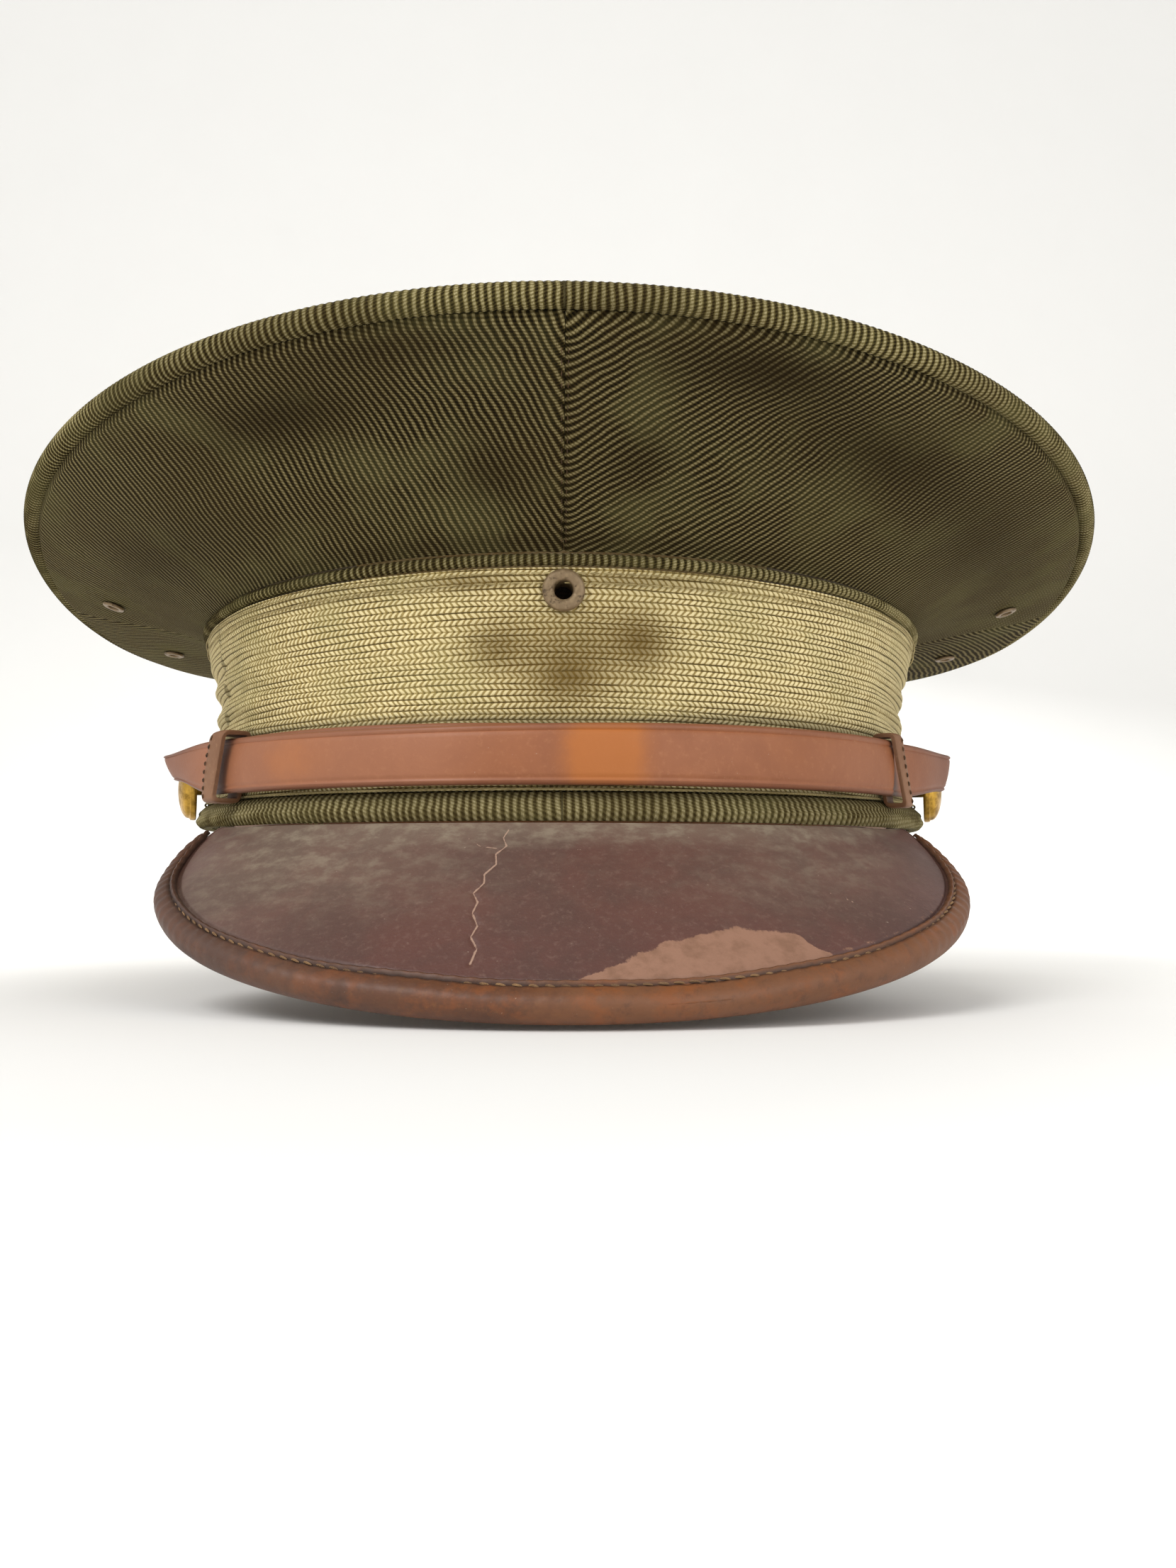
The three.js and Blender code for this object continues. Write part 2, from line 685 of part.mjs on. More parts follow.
// A strap standing on edge along a plan line.
function strapSolid(plan, sign) {
  const half = STRAP_THICKNESS / 2;
  const line = plan.map((p) => new THREE.Vector2(p.x * sign, p.y));
  const side = (turn) =>
    line.map((p, i) => {
      const before = line[Math.max(i - 1, 0)];
      const after = line[Math.min(i + 1, line.length - 1)];
      const along = after.clone().sub(before).normalize();
      return p.clone().add(new THREE.Vector2(-along.y, along.x).multiplyScalar(turn * half));
    });
  const shape = new THREE.Shape([...side(1), ...side(-1).reverse()]);
  const options = { depth: STRAP_WIDTH, bevelEnabled: false };
  const geometry = new THREE.ExtrudeGeometry(shape, options).translate(0, 0, STRAP_FOOT);
  const { at, along } = buttonPlace(sign);
  const sideways = UP.clone().cross(along);
  const slit = [-SHANK_SLIT, 0, SHANK_SLIT].map((s) => ({
    at: at.clone().addScaledVector(sideways, s),
    along,
    radius: SHANK_RADIUS + SHANK_CLEARANCE,
    length: 6,
  }));
  return pierced(geometry, slit);
}

const strapEnd = rad(STRAP_END_ANGLE);
add("chin_strap_outer", strapSolid(strapPlan(-strapEnd, outerStrapOut), -1), STRAP_BROWN);
add("chin_strap_inner", strapSolid(strapPlan(-strapEnd, innerStrapOut), 1), STRAP_BROWN);

// A keeper: a loop of leather round both straps, which slides along the front arc.
function keeperSolid(sign) {
  const spare = STRAP_SKIN_GAP;
  const near = innerStrapOut - STRAP_THICKNESS / 2 - spare;
  const far = outerStrapOut + STRAP_THICKNESS / 2 + spare;
  const foot = STRAP_FOOT - spare;
  const head = STRAP_FOOT + STRAP_WIDTH + spare;
  const place = (u, d, z) =>
    frontCentre.clone().addScaledVector(ovalNormal(u), FRONT_ARC_RADIUS + d).setZ(z);
  const block = (halfAngle, grow) => {
    const middle = sign * rad(KEEPER_ANGLE);
    const section = [
      [near - grow, foot - grow],
      [far + grow, foot - grow],
      [far + grow, head + grow],
      [near - grow, head + grow],
    ];
    return solid(sweep(steps(middle - halfAngle, middle + halfAngle, 5), section, place));
  };
  const reach = KEEPER_WIDTH / 2 / (FRONT_ARC_RADIUS + outerStrapOut);
  return geometryOf(block(reach, KEEPER_LEATHER).subtract(block(reach * 1.5, 0)));
}

// ---- Buttons and eyelets: turned pieces, each on an axis that points out of the cloth ----

// Turns a profile of [radius, distance out] about the place's axis.
function turned(profile, { at, along }, segments = 20) {
  const closed = [...profile, profile[0]].map(([r, out]) => new THREE.Vector2(r, out));
  const geometry = new THREE.LatheGeometry(closed, segments);
  geometry.deleteAttribute("normal");
  geometry.deleteAttribute("uv");
  const whole = mergeVertices(geometry, 1e-4);
  whole.applyQuaternion(new THREE.Quaternion().setFromUnitVectors(V(0, 1, 0), along));
  return outward(whole.translate(at.x, at.y, at.z));
}

const ring = (rIn, rOut, low, high) => [
  [rIn, low],
  [rOut, low],
  [rOut, high],
  [rIn, high],
];

const strapFace = STRAP_AT_BUTTON + STRAP_THICKNESS / 2;
const shellFoot = strapFace + 0.4;
const backPlate = [shellFoot + 0.25, shellFoot + 0.85];
// The split rings and the badge's washer lie this far in, clear of the stiffener's back.
const retainerFace = layers.stiffener[0] - RETAINER_SPACE;
for (const { name, sign } of SIDES) {
  add("strap_keeper_" + name, keeperSolid(sign), STRAP_BROWN);
  const place = buttonPlace(sign);
  const R = BUTTON_RADIUS;
  const under = backPlate[1] + 0.3;
  const crown = under + BUTTON_DOME;
  add(
    "side_button_shell_" + name,
    turned(
      [
        [0, crown],
        [R * 0.5, crown - 0.4],
        [R * 0.83, crown - 1.4],
        [R, shellFoot + 0.6],
        [R - 0.2, shellFoot],
        [R - 0.7, shellFoot],
        [R - 0.7, under],
        [0, under],
      ],
      place,
    ),
    BRASS,
  );
  add(
    "side_button_back_" + name,
    turned(
      [
        [0, backPlate[1]],
        [R - 1.1, backPlate[1]],
        [R - 1.1, backPlate[0]],
        [SHANK_RADIUS, backPlate[0]],
        [SHANK_RADIUS, retainerFace - SPLIT_RING_THICKNESS - 0.2],
        [0, retainerFace - SPLIT_RING_THICKNESS - 0.2],
      ],
      place,
      16,
    ),
    BRASS,
  );
  add(
    "side_button_split_ring_" + name,
    turned(
      ring(SHANK_RADIUS + 0.25, SHANK_RADIUS + 1.8, retainerFace - SPLIT_RING_THICKNESS, retainerFace),
      place,
      16,
    ),
    STEEL,
  );
}

// An eyelet: a rolled flange outside, and a barrel that reaches in to a depth.
const eyeletProfile = (hole, wall, flange, thickness, depth) => [
  [hole, -depth],
  [hole + wall, -depth],
  [hole + wall, GAP],
  [flange, GAP],
  [flange, GAP + thickness * 0.6],
  [flange - 0.5, GAP + thickness],
  [hole + 0.4, GAP + thickness],
  [hole, GAP + thickness * 0.6],
];
add(
  "badge_eyelet",
  turned(
    eyeletProfile(
      BADGE_HOLE_RADIUS,
      BADGE_BARREL_WALL,
      BADGE_FLANGE_RADIUS,
      BADGE_FLANGE_THICKNESS,
      BADGE_BARREL_DEPTH,
    ),
    badgePlace,
  ),
  EYELET_PAINT,
);
add(
  "badge_eyelet_washer",
  turned(
    ring(
      BADGE_HOLE_RADIUS + 1,
      BADGE_FLANGE_RADIUS + 0.4,
      retainerFace - WASHER_THICKNESS,
      retainerFace,
    ),
    badgePlace,
  ),
  BRASS,
);
for (const { name, sign } of SIDES) {
  for (const { name: end, angle, height } of VENT_PLACES) {
    const place = ventHole(sign * rad(angle), height);
    const profile = eyeletProfile(
      VENT_HOLE_RADIUS,
      VENT_BARREL_WALL,
      VENT_FLANGE_RADIUS,
      VENT_FLANGE_THICKNESS,
      VENT_BARREL_DEPTH,
    );
    add(`vent_eyelet_${end}_${name}`, turned(profile, place, 14), EYELET_PAINT);
    const back = -QUARTER_THICKNESS - VENT_WASHER_SPACE;
    const washer = ring(VENT_HOLE_RADIUS + 0.7, VENT_FLANGE_RADIUS, back - WASHER_THICKNESS, back);
    add(`vent_washer_${end}_${name}`, turned(washer, place, 14), BRASS);
  }
}

export default cap;
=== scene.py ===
# The looks of the peaked cap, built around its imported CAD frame. Lengths are in millimetres until a
# mesh is written, and metres in Blender. Axes and origin are the frame's: +Z up, the front faces -Y.
import math
import bpy
import numpy as np
from mathutils import Matrix, Vector


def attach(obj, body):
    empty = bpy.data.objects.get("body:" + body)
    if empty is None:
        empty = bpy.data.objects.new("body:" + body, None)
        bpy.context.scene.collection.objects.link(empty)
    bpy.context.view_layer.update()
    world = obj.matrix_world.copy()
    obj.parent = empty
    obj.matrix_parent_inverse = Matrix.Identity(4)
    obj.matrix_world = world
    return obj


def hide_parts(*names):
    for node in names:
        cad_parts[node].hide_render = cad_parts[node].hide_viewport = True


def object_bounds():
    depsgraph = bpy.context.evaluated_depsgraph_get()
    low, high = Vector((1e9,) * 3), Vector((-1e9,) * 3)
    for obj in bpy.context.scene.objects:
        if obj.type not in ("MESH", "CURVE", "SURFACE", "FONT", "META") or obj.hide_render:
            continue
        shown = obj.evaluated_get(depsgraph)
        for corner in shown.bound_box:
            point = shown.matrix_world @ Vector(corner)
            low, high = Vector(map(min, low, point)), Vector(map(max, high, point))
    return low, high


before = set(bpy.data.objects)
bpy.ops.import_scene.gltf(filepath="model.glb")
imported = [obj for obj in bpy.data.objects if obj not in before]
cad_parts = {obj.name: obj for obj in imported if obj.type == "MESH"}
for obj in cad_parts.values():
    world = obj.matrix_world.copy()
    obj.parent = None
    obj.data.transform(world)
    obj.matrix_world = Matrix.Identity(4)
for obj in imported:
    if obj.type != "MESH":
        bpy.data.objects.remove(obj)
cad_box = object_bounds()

MM = 0.001

# ---- Camera ----

CAMERA_DISTANCE = 388.6
CAMERA_HEIGHT = -9.9
CAMERA_ASIDE = -1.16
CAMERA_RISE = math.degrees(0.057)
CAMERA_TURN = math.degrees(0.0201)
CAMERA_ROLL = math.degrees(0.002)
LENS = 35.8


def make_camera():
    data = bpy.data.cameras.new("camera")
    data.lens = LENS
    data.clip_start, data.clip_end = 0.01, 20
    camera = bpy.data.objects.new("camera", data)
    bpy.context.scene.collection.objects.link(camera)
    camera.location = Vector((CAMERA_ASIDE, -CAMERA_DISTANCE, CAMERA_HEIGHT)) * MM
    camera.rotation_euler = (
        Matrix.Rotation(-math.radians(CAMERA_TURN), 3, "Z")
        @ Matrix.Rotation(math.pi / 2 + math.radians(CAMERA_RISE), 3, "X")
        @ Matrix.Rotation(math.radians(CAMERA_ROLL), 3, "Z")
    ).to_euler()
    bpy.context.scene.camera = camera


make_camera()

# ---- The cap's driving dimensions, as in the CAD part ----

BAND_HALF_WIDTH = 85
BAND_HALF_LENGTH = 104
FRONT_ARC_RADIUS = 78
BAND_HEIGHT = 46.4
SIDE_DROP = 2.9
WAIST_DEPTH = 3.3
WAIST_HEIGHT = 27
WAIST_SPREAD = 12
FRONT_LEAN = 1.2
SIDE_LEAN = 0.8
GAP = 0.3
LOWER_WELT_HEIGHT = 4.9
LOWER_WELT_REACH = 2.1
UPPER_WELT_RADIUS = 1.2
EDGE_WELT_RADIUS = 2.3
RIM_HALF_WIDTH = 124.6
RIM_FRONT = 148.8
RIM_BACK = 129
RIM_CENTRE = np.array([0, 5.2, 56.5])
RIM_TILT = math.radians(9.45)
RIM_BACK_LIFT = 15
TOP_DOME = 14
TOP_HEIGHT = 4.4
VISOR_HALF_ANGLE = math.radians(60)
VISOR_LENGTH = 47.4
VISOR_ROUNDNESS = 0.52
VISOR_SLOPE = math.radians(40.5)
VISOR_END_SLOPE = math.radians(30.5)
VISOR_DROP = 0.8
VISOR_FLANGE = 6.6
VISOR_LEAF_ANGLE = math.radians(59.4)
# The visor is sewn in slightly turned, and its corners curl up to the welt.
VISOR_TURN = math.radians(0.5)
VISOR_TIP_LIFT = 0.7
VISOR_TOP, VISOR_CORE, VISOR_UNDER = (-1.1, 0), (-2.6, -1.4), (-3.6, -2.9)
BINDING_WIDTH = 6.2
BINDING_THICKNESS = 0.8
STRAP_WIDTH = 11.1
STRAP_FOOT = 6
STRAP_THICKNESS = 1.2
INNER_STRAP_OUT = 2.75
OUTER_STRAP_OUT = 4.2
KEEPER_LEATHER = 0.8
KEEPER_ANGLE = math.radians(56)
STRAP_END_ANGLE = math.radians(54.2)
LEAVING_ANGLE = math.radians(58.8)
STRAP_FLARE = math.radians(6)
STRAP_RUN = 26
STRAP_AT_BUTTON = 1.3
BUTTON_ANGLE = math.radians(75)
TAB_ANGLE = math.radians(80)
BUTTON_HEIGHT = 8.8
BUTTON_RADIUS = 7
BADGE_HEIGHT = 41.8
VENT_PLACES = {"front": (83.5, 0.62), "rear": (102.5, 0.57)}
BRAID = (-1.4, 0)
BAND_CLOTH = (-2.8, -1.8)
STIFFENER = (-4.4, -3.2)
SWEATBAND = (-7.8, -6.8)
# The grommet wire: how far in from the rim and how high over its plane.
WIRE = (5.5, 2.3)

# ---- Surfaces: every function takes arrays and returns points in millimetres ----

FRONT_CENTRE = BAND_HALF_LENGTH - FRONT_ARC_RADIUS
NARROWING = BAND_HALF_WIDTH - FRONT_ARC_RADIUS
SIDE_CENTRE = (FRONT_CENTRE**2 - NARROWING**2) / (2 * NARROWING)
SIDE_ARC_RADIUS = BAND_HALF_WIDTH + SIDE_CENTRE
JOIN_ANGLE = math.atan2(SIDE_CENTRE, FRONT_CENTRE)
X, Y, Z = np.eye(3)


def smooth(a, b, x):
    t = np.clip((x - a) / (b - a), 0, 1)
    return t * t * (3 - 2 * t)


def spot(x, y, cx, cy, rx, ry, turned=0.0):
    """A soft spot: 1 at its centre, falling to nothing."""
    c, s = math.cos(math.radians(turned)), math.sin(math.radians(turned))
    a = ((x - cx) * c + (y - cy) * s) / rx
    b = (-(x - cx) * s + (y - cy) * c) / ry
    return np.exp(-(a * a + b * b))


def spots(x, y, rows):
    """The sum of spots, each with its strength first."""
    return sum(strength * spot(x, y, *place) for strength, *place in rows)


def bell(x, middle, width):
    return np.exp(-(((x - middle) / width) ** 2))


def round_from_front(u):
    """The angle u in degrees, between -180 and 180."""
    return np.degrees(np.angle(np.exp(1j * u)))


def run_along(line):
    """How far each point of a line lies from its start, measured along it."""
    return np.concatenate([[0], np.cumsum(np.linalg.norm(np.diff(line, axis=0), axis=1))])


def outer_rows(outer, inner):
    """A section's mask: 1 on its outer points, which come first, and 0 on its inner ones."""
    return np.repeat([1.0, 0.0], [outer, inner])[None, :]


def oval_normal(u):
    u = np.asarray(u, float)
    return np.stack([np.sin(u), -np.cos(u), 0 * u], -1)


def oval_point(u):
    """The point of the head oval whose outward normal is at angle u from the front."""
    n = oval_normal(u)
    on_end = (np.abs(n[..., :1]) <= math.sin(JOIN_ANGLE)).astype(float)
    centre = on_end * FRONT_CENTRE * np.sign(n[..., 1:2]) * Y
    centre = centre - (1 - on_end) * SIDE_CENTRE * np.sign(n[..., :1]) * X
    return centre + n * (on_end * FRONT_ARC_RADIUS + (1 - on_end) * SIDE_ARC_RADIUS)


def band_top(u):
    return BAND_HEIGHT - SIDE_DROP * np.sin(u) ** 2


def band_point(u, z, d):
    """A point of the band at height z, d outwards from the braid's face."""
    u, z, d = np.broadcast_arrays(u, np.asarray(z, float), d)
    side = smooth(0.8, 1, np.abs(np.sin(u)))
    waist = np.exp(-(((z - WAIST_HEIGHT) / WAIST_SPREAD) ** 2))
    rise = smooth(18, BAND_HEIGHT, z)
    flare = (1 - side) * FRONT_LEAN * rise + side * (SIDE_LEAN * rise - WAIST_DEPTH * waist)
    return oval_point(u) + oval_normal(u) * (d + flare)[..., None] + z[..., None] * Z


RIM_BACKWARD = np.array([0, math.cos(RIM_TILT), -math.sin(RIM_TILT)])
RIM_UP = np.array([0, math.sin(RIM_TILT), math.cos(RIM_TILT)])


def rim_span(u):
    """The rim's distance from its centre, across and along the cap."""
    along = np.where(np.cos(u) > 0, RIM_FRONT, RIM_BACK)
    return RIM_HALF_WIDTH * np.sin(u), -along * np.cos(u)


def top_point(u, inset, h):
    """A point of the top, inset from the rim and h above the rim's plane."""
    u, inset, h = np.broadcast_arrays(u, np.asarray(inset, float), h)
    across, along = rim_span(u)
    r = 1 - inset / np.hypot(across, along)
    lift = RIM_BACK_LIFT * np.maximum((-np.cos(u) - 0.2) / 0.8, 0) ** 2 * r**2
    dome = TOP_DOME * np.maximum(1 - r**2, 0) ** 1.5
    parts = ((across * r, X), (along * r, RIM_BACKWARD), (h + lift + dome, RIM_UP))
    return RIM_CENTRE + sum(size[..., None] * way for size, way in parts)


def wall_face(u, t):
    """The crown wall's outer face: t is 0 at the band and 1 at the rim."""
    u, t = np.broadcast_arrays(np.asarray(u, float), np.asarray(t, float))
    foot = band_point(u, band_top(u), -0.4) + (2 * UPPER_WELT_RADIUS + GAP) * Z
    rim = top_point(u, 0, 0)
    out = (rim - foot) * (X + Y)
    rise = np.maximum(rim[..., 2:] - foot[..., 2:], 0)
    low = foot + 0.26 * out + (0.3 * rise + 0.5) * Z
    high = rim - 0.3 * out - (0.26 * rise + 2.5) * Z
    t = t[..., None]
    s = 1 - t
    return s**3 * foot + 3 * s * s * t * low + 3 * s * t * t * high + t**3 * rim


def unit(v):
    return v / np.maximum(np.linalg.norm(v, axis=-1, keepdims=True), 1e-12)


def wall_normal(u, t):
    e = 1e-3
    along = wall_face(u + e, t) - wall_face(u - e, t)
    upward = wall_face(u, t + e) - wall_face(u, t - e)
    return unit(np.cross(along, upward))


def wall_point(u, t, d):
    u, t, d = np.broadcast_arrays(u, t, d)
    return wall_face(u, t) + wall_normal(u, t) * d[..., None]


def visor_spread(u):
    return np.abs(u / VISOR_HALF_ANGLE) ** 2.07


def visor_length(u):
    return VISOR_LENGTH * np.maximum(1 - visor_spread(u), 0) ** VISOR_ROUNDNESS


def visor_point(u, s, d):
    """A point of the visor, s down its slope from the band and d above its top face."""
    u, s, d = np.broadcast_arrays(u, s, d)
    slope = VISOR_SLOPE + (VISOR_END_SLOPE - VISOR_SLOPE) * visor_spread(u)
    bend = smooth(-0.8, 0.8, s)
    turn = slope * bend
    fall = np.where(s > 0, slope, 0)
    n = oval_normal(u + VISOR_TURN)
    tip = VISOR_TIP_LIFT * smooth(0.9, 1, np.abs(u) / VISOR_LEAF_ANGLE) * smooth(-1, 2, s)
    root = oval_point(u + VISOR_TURN) + n * LOWER_WELT_REACH + (tip - VISOR_DROP)[..., None] * Z
    down = n * np.cos(fall)[..., None] - np.sin(fall)[..., None] * Z
    above = n * np.sin(turn)[..., None] + np.cos(turn)[..., None] * Z
    return root + down * s[..., None] + above * d[..., None]


# ---- Meshes ----


def facing_out(points, faces):
    """The faces, turned over if they enclose a negative volume."""
    volume = 0
    for f in faces:
        a = points[f[:, 0]]
        for k in range(1, f.shape[1] - 1):
            volume += np.einsum("ij,ij->", a, np.cross(points[f[:, k]], points[f[:, k + 1]]))
    return faces if volume > 0 else [f[:, ::-1] for f in faces]


def make(
    name, points, faces, look, body="cap", in_cad=True, fields=None, sharp=40, hole=None
):
    """Writes a mesh object, and says which body it rides on. It stands for the CAD node of its own name
    unless in_cad is off. hole is the (point, radius) of a round hole cut through its front."""
    material, own_slot = LOOKS[look]
    points = np.asarray(points, float).reshape(-1, 3)
    faces = facing_out(points, [np.asarray(f, np.int64) for f in faces if len(f)])
    if hole:
        at, radius = hole
        away = np.hypot(points[:, 0] - at[0], points[:, 2] - at[2])
        inside = (away < radius) & (points[:, 1] < 0)
        faces = [f[~inside[f].all(1)] for f in faces]
    mesh = bpy.data.meshes.new(name)
    corners = np.concatenate([f.reshape(-1) for f in faces])
    sizes = np.concatenate([np.full(len(f), f.shape[1]) for f in faces])
    mesh.vertices.add(len(points))
    mesh.vertices.foreach_set("co", (points * MM).astype(np.float32).ravel())
    mesh.loops.add(len(corners))
    mesh.loops.foreach_set("vertex_index", corners.astype(np.int32))
    mesh.polygons.add(len(sizes))
    starts = np.concatenate([[0], np.cumsum(sizes)[:-1]])
    mesh.polygons.foreach_set("loop_start", starts.astype(np.int32))
    mesh.update(calc_edges=True)
    mesh.validate()
    for key, values in (fields or {}).items():
        values = np.asarray(values, np.float32)
        flat = values.size == len(points)
        kind = "FLOAT" if flat else "FLOAT_VECTOR"
        data = mesh.attributes.new(key, kind, "POINT").data
        data.foreach_set("value" if flat else "vector", values.ravel())
    mesh.shade_smooth()
    mesh.set_sharp_from_angle(angle=math.radians(sharp))
    mesh.materials.append(material)
    obj = bpy.data.objects.new(name, mesh)
    bpy.context.scene.collection.objects.link(obj)
    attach(obj, body)
    if in_cad:
        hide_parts(name)
    return obj


def wrapped(count, rows, ring, base=0):
    """Quads of a tube: rows sections of count points each, closed round the section."""
    i = np.arange(rows if ring else rows - 1)[:, None]
    j = np.arange(count)[None, :]
    a, b = base + i * count, base + (i + 1) % rows * count
    k = (j + 1) % count
    return np.stack([a + j, b + j, b + k, a + k], -1).reshape(-1, 4)


def sweep(us, p, q, place, ring=False):
    """Points and faces of a closed section (p, q), swept along us. Both may vary along the way."""
    us = np.asarray(us, float)
    p, q = np.atleast_2d(p), np.atleast_2d(q)
    rows, count = len(us), max(p.shape[1], q.shape[1])
    p, q = np.broadcast_to(p, (rows, count)), np.broadcast_to(q, (rows, count))
    points = place(np.repeat(us[:, None], count, 1), p, q).reshape(-1, 3)
    faces = [wrapped(count, rows, ring)]
    if not ring:
        first = np.arange(count)[None, :]
        faces += [first[:, ::-1], first + (rows - 1) * count]
    return points, faces


def turn(steps):
    return 2 * math.pi * np.arange(steps) / steps


def even(curve, a, b, count, ring=False):
    """count values from a to b, spaced evenly along the curve they give."""
    fine = np.linspace(a, b, 4000)
    line = curve(fine)
    run = run_along(line)
    share = np.arange(count) / count if ring else np.linspace(0, 1, count)
    return np.interp(share * run[-1], run, fine), share * run[-1]


def bead(p, q, radius_p, radius_q=None, sides=16):
    a = turn(sides)
    return p + radius_p * np.cos(a), q + (radius_q or radius_p) * np.sin(a)


def sheet(across, low, high, folds=5):
    """The section of a sheet: the outer face through every value, the inner face through a few."""
    inner = np.linspace(across[-1], across[0], folds)
    p = np.concatenate([across, inner])
    return p, np.concatenate([np.full(len(across), high), np.full(folds, low)])


def rounded(corners, radius, steps=4):
    """A closed outline with each corner rounded."""
    corners = np.asarray(corners, float)
    out = []
    for i, c in enumerate(corners):
        a, b = unit(corners[i - 1] - c), unit(corners[(i + 1) % len(corners)] - c)
        for k in np.linspace(0, 1, steps):
            out.append(c + radius * ((1 - k) ** 2 * a + k**2 * b))
    return np.array(out)


def joined(parts):
    """Several (points, faces) as one."""
    points, faces, base = [], [], 0
    for pts, fcs in parts:
        points.append(pts)
        faces += [f + base for f in facing_out(pts, fcs)]
        base += len(pts)
    return np.concatenate(points), faces


def lathe(profile, at, along, steps=40):
    """Turns a closed profile of (radius, distance out) about an axis."""
    profile = np.asarray(profile, float)
    along = unit(np.asarray(along, float))
    side = unit(np.cross(along, Z if abs(along[2]) < 0.9 else X))
    other = np.cross(along, side)
    a = turn(steps)[:, None, None]
    r, h = profile[None, :, :1], profile[None, :, 1:]
    points = at + along * h + r * (np.cos(a) * side + np.sin(a) * other)
    return points.reshape(-1, 3), [wrapped(len(profile), steps, True)]


def stitches(starts, ends, ups, radius):
    """Short threads: one capsule from each start to each end."""
    parts = []
    ring = turn(6)[:, None]
    for a, b, up in zip(starts, ends, ups):
        side = unit(np.cross(b - a, up))
        rows = []
        for s, r in ((0, 0.35), (0.18, 0.9), (0.5, 1.1), (0.82, 0.9), (1, 0.35)):
            sink = -(abs(s - 0.5) * 1.6) ** 2 * radius
            centre = a + (b - a) * s + up * sink
            rows.append(centre + radius * r * (np.cos(ring) * side + np.sin(ring) * up))
        first = np.arange(6)[None, :]
        parts.append((np.concatenate(rows), [wrapped(6, 5, False), first[:, ::-1], first + 24]))
    return joined(parts)


# ---- Materials ----


def colour(code):
    """A linear colour from its sRGB hex code."""
    s = [int(code[i : i + 2], 16) / 255 for i in (0, 2, 4)]
    return (*[c / 12.92 if c <= 0.04045 else ((c + 0.055) / 1.055) ** 2.4 for c in s], 1)


class Look:
    """A procedural material under construction. Each method adds a node and returns its output."""

    def __init__(self, name, **sockets):
        self.material = bpy.data.materials.new(name)
        self.material.use_nodes = True
        self.tree = self.material.node_tree
        self.shader = self.tree.nodes["Principled BSDF"]
        for key, value in sockets.items():
            self.put(self.shader.inputs[key.replace("_", " ").title().replace("Ior", "IOR")], value)

    def put(self, socket, value):
        if isinstance(value, bpy.types.NodeSocket):
            self.tree.links.new(value, socket)
        elif isinstance(value, str):
            socket.default_value = colour(value)
        else:
            socket.default_value = value

    def node(self, kind, values, **settings):
        made = self.tree.nodes.new("ShaderNode" + kind)
        for key, value in settings.items():
            setattr(made, key, value)
        for key, value in values.items():
            self.put(made.inputs[key], value)
        return made

    def field(self, name):
        return self.node("Attribute", {}, attribute_name=name).outputs["Fac"]

    def vector(self, name):
        return self.node("Attribute", {}, attribute_name=name).outputs["Vector"]

    def stretch(self, vector, *scale):
        return self.node("VectorMath", {0: vector, 1: scale}, operation="MULTIPLY").outputs[0]

    def place(self, scale=1):
        """The place on the object in millimetres, times a scale."""
        return self.stretch(self.node("TexCoord", {}).outputs["Object"], *[scale / MM] * 3)

    def noise(self, vector, scale, detail=3, rough=0.5, distort=0):
        values = {"Vector": vector, "Scale": scale, "Detail": detail, "Roughness": rough}
        return self.node("TexNoise", {**values, "Distortion": distort}).outputs["Fac"]

    def cells(self, vector, scale):
        return self.node("TexVoronoi", {"Vector": vector, "Scale": scale}).outputs["Distance"]

    def math(self, operation, a, b=0.0, clamp=False):
        return self.node("Math", {0: a, 1: b}, operation=operation, use_clamp=clamp).outputs[0]

    def add(self, a, b, clamp=False):
        return self.math("ADD", a, b, clamp)

    def less(self, a, b):
        return self.math("SUBTRACT", a, b)

    def times(self, a, b, clamp=False):
        return self.math("MULTIPLY", a, b, clamp)

    def wave(self, turns):
        """A sine that goes through one whole wave for each turn."""
        return self.math("SINE", self.times(turns, 2 * math.pi))

    def between(self, value, low, high, to_low=0.0, to_high=1.0):
        names = ("Value", "From Min", "From Max", "To Min", "To Max")
        values = dict(zip(names, (value, low, high, to_low, to_high)))
        return self.node("MapRange", values, interpolation_type="SMOOTHSTEP").outputs[0]

    def mix(self, share, a, b):
        return self.node("Mix", {0: share, 6: a, 7: b}, data_type="RGBA").outputs[2]

    def tint(self, base, where, strength, code):
        """The base with a colour laid over it."""
        return self.mix(self.times(where, strength), base, code)

    def split(self, vector):
        return self.node("SeparateXYZ", {0: vector}).outputs

    def bump(self, height, distance, strength):
        values = {"Height": height, "Distance": distance * MM, "Strength": strength}
        return self.node("Bump", values).outputs[0]

    def finish(self, base, rough, normal=None):
        inputs = self.shader.inputs
        self.put(inputs["Base Color"], base)
        self.put(inputs["Roughness"], rough)
        if normal is not None:
            self.put(inputs["Normal"], normal)
        return self.material


RIB_PITCH = 1.3


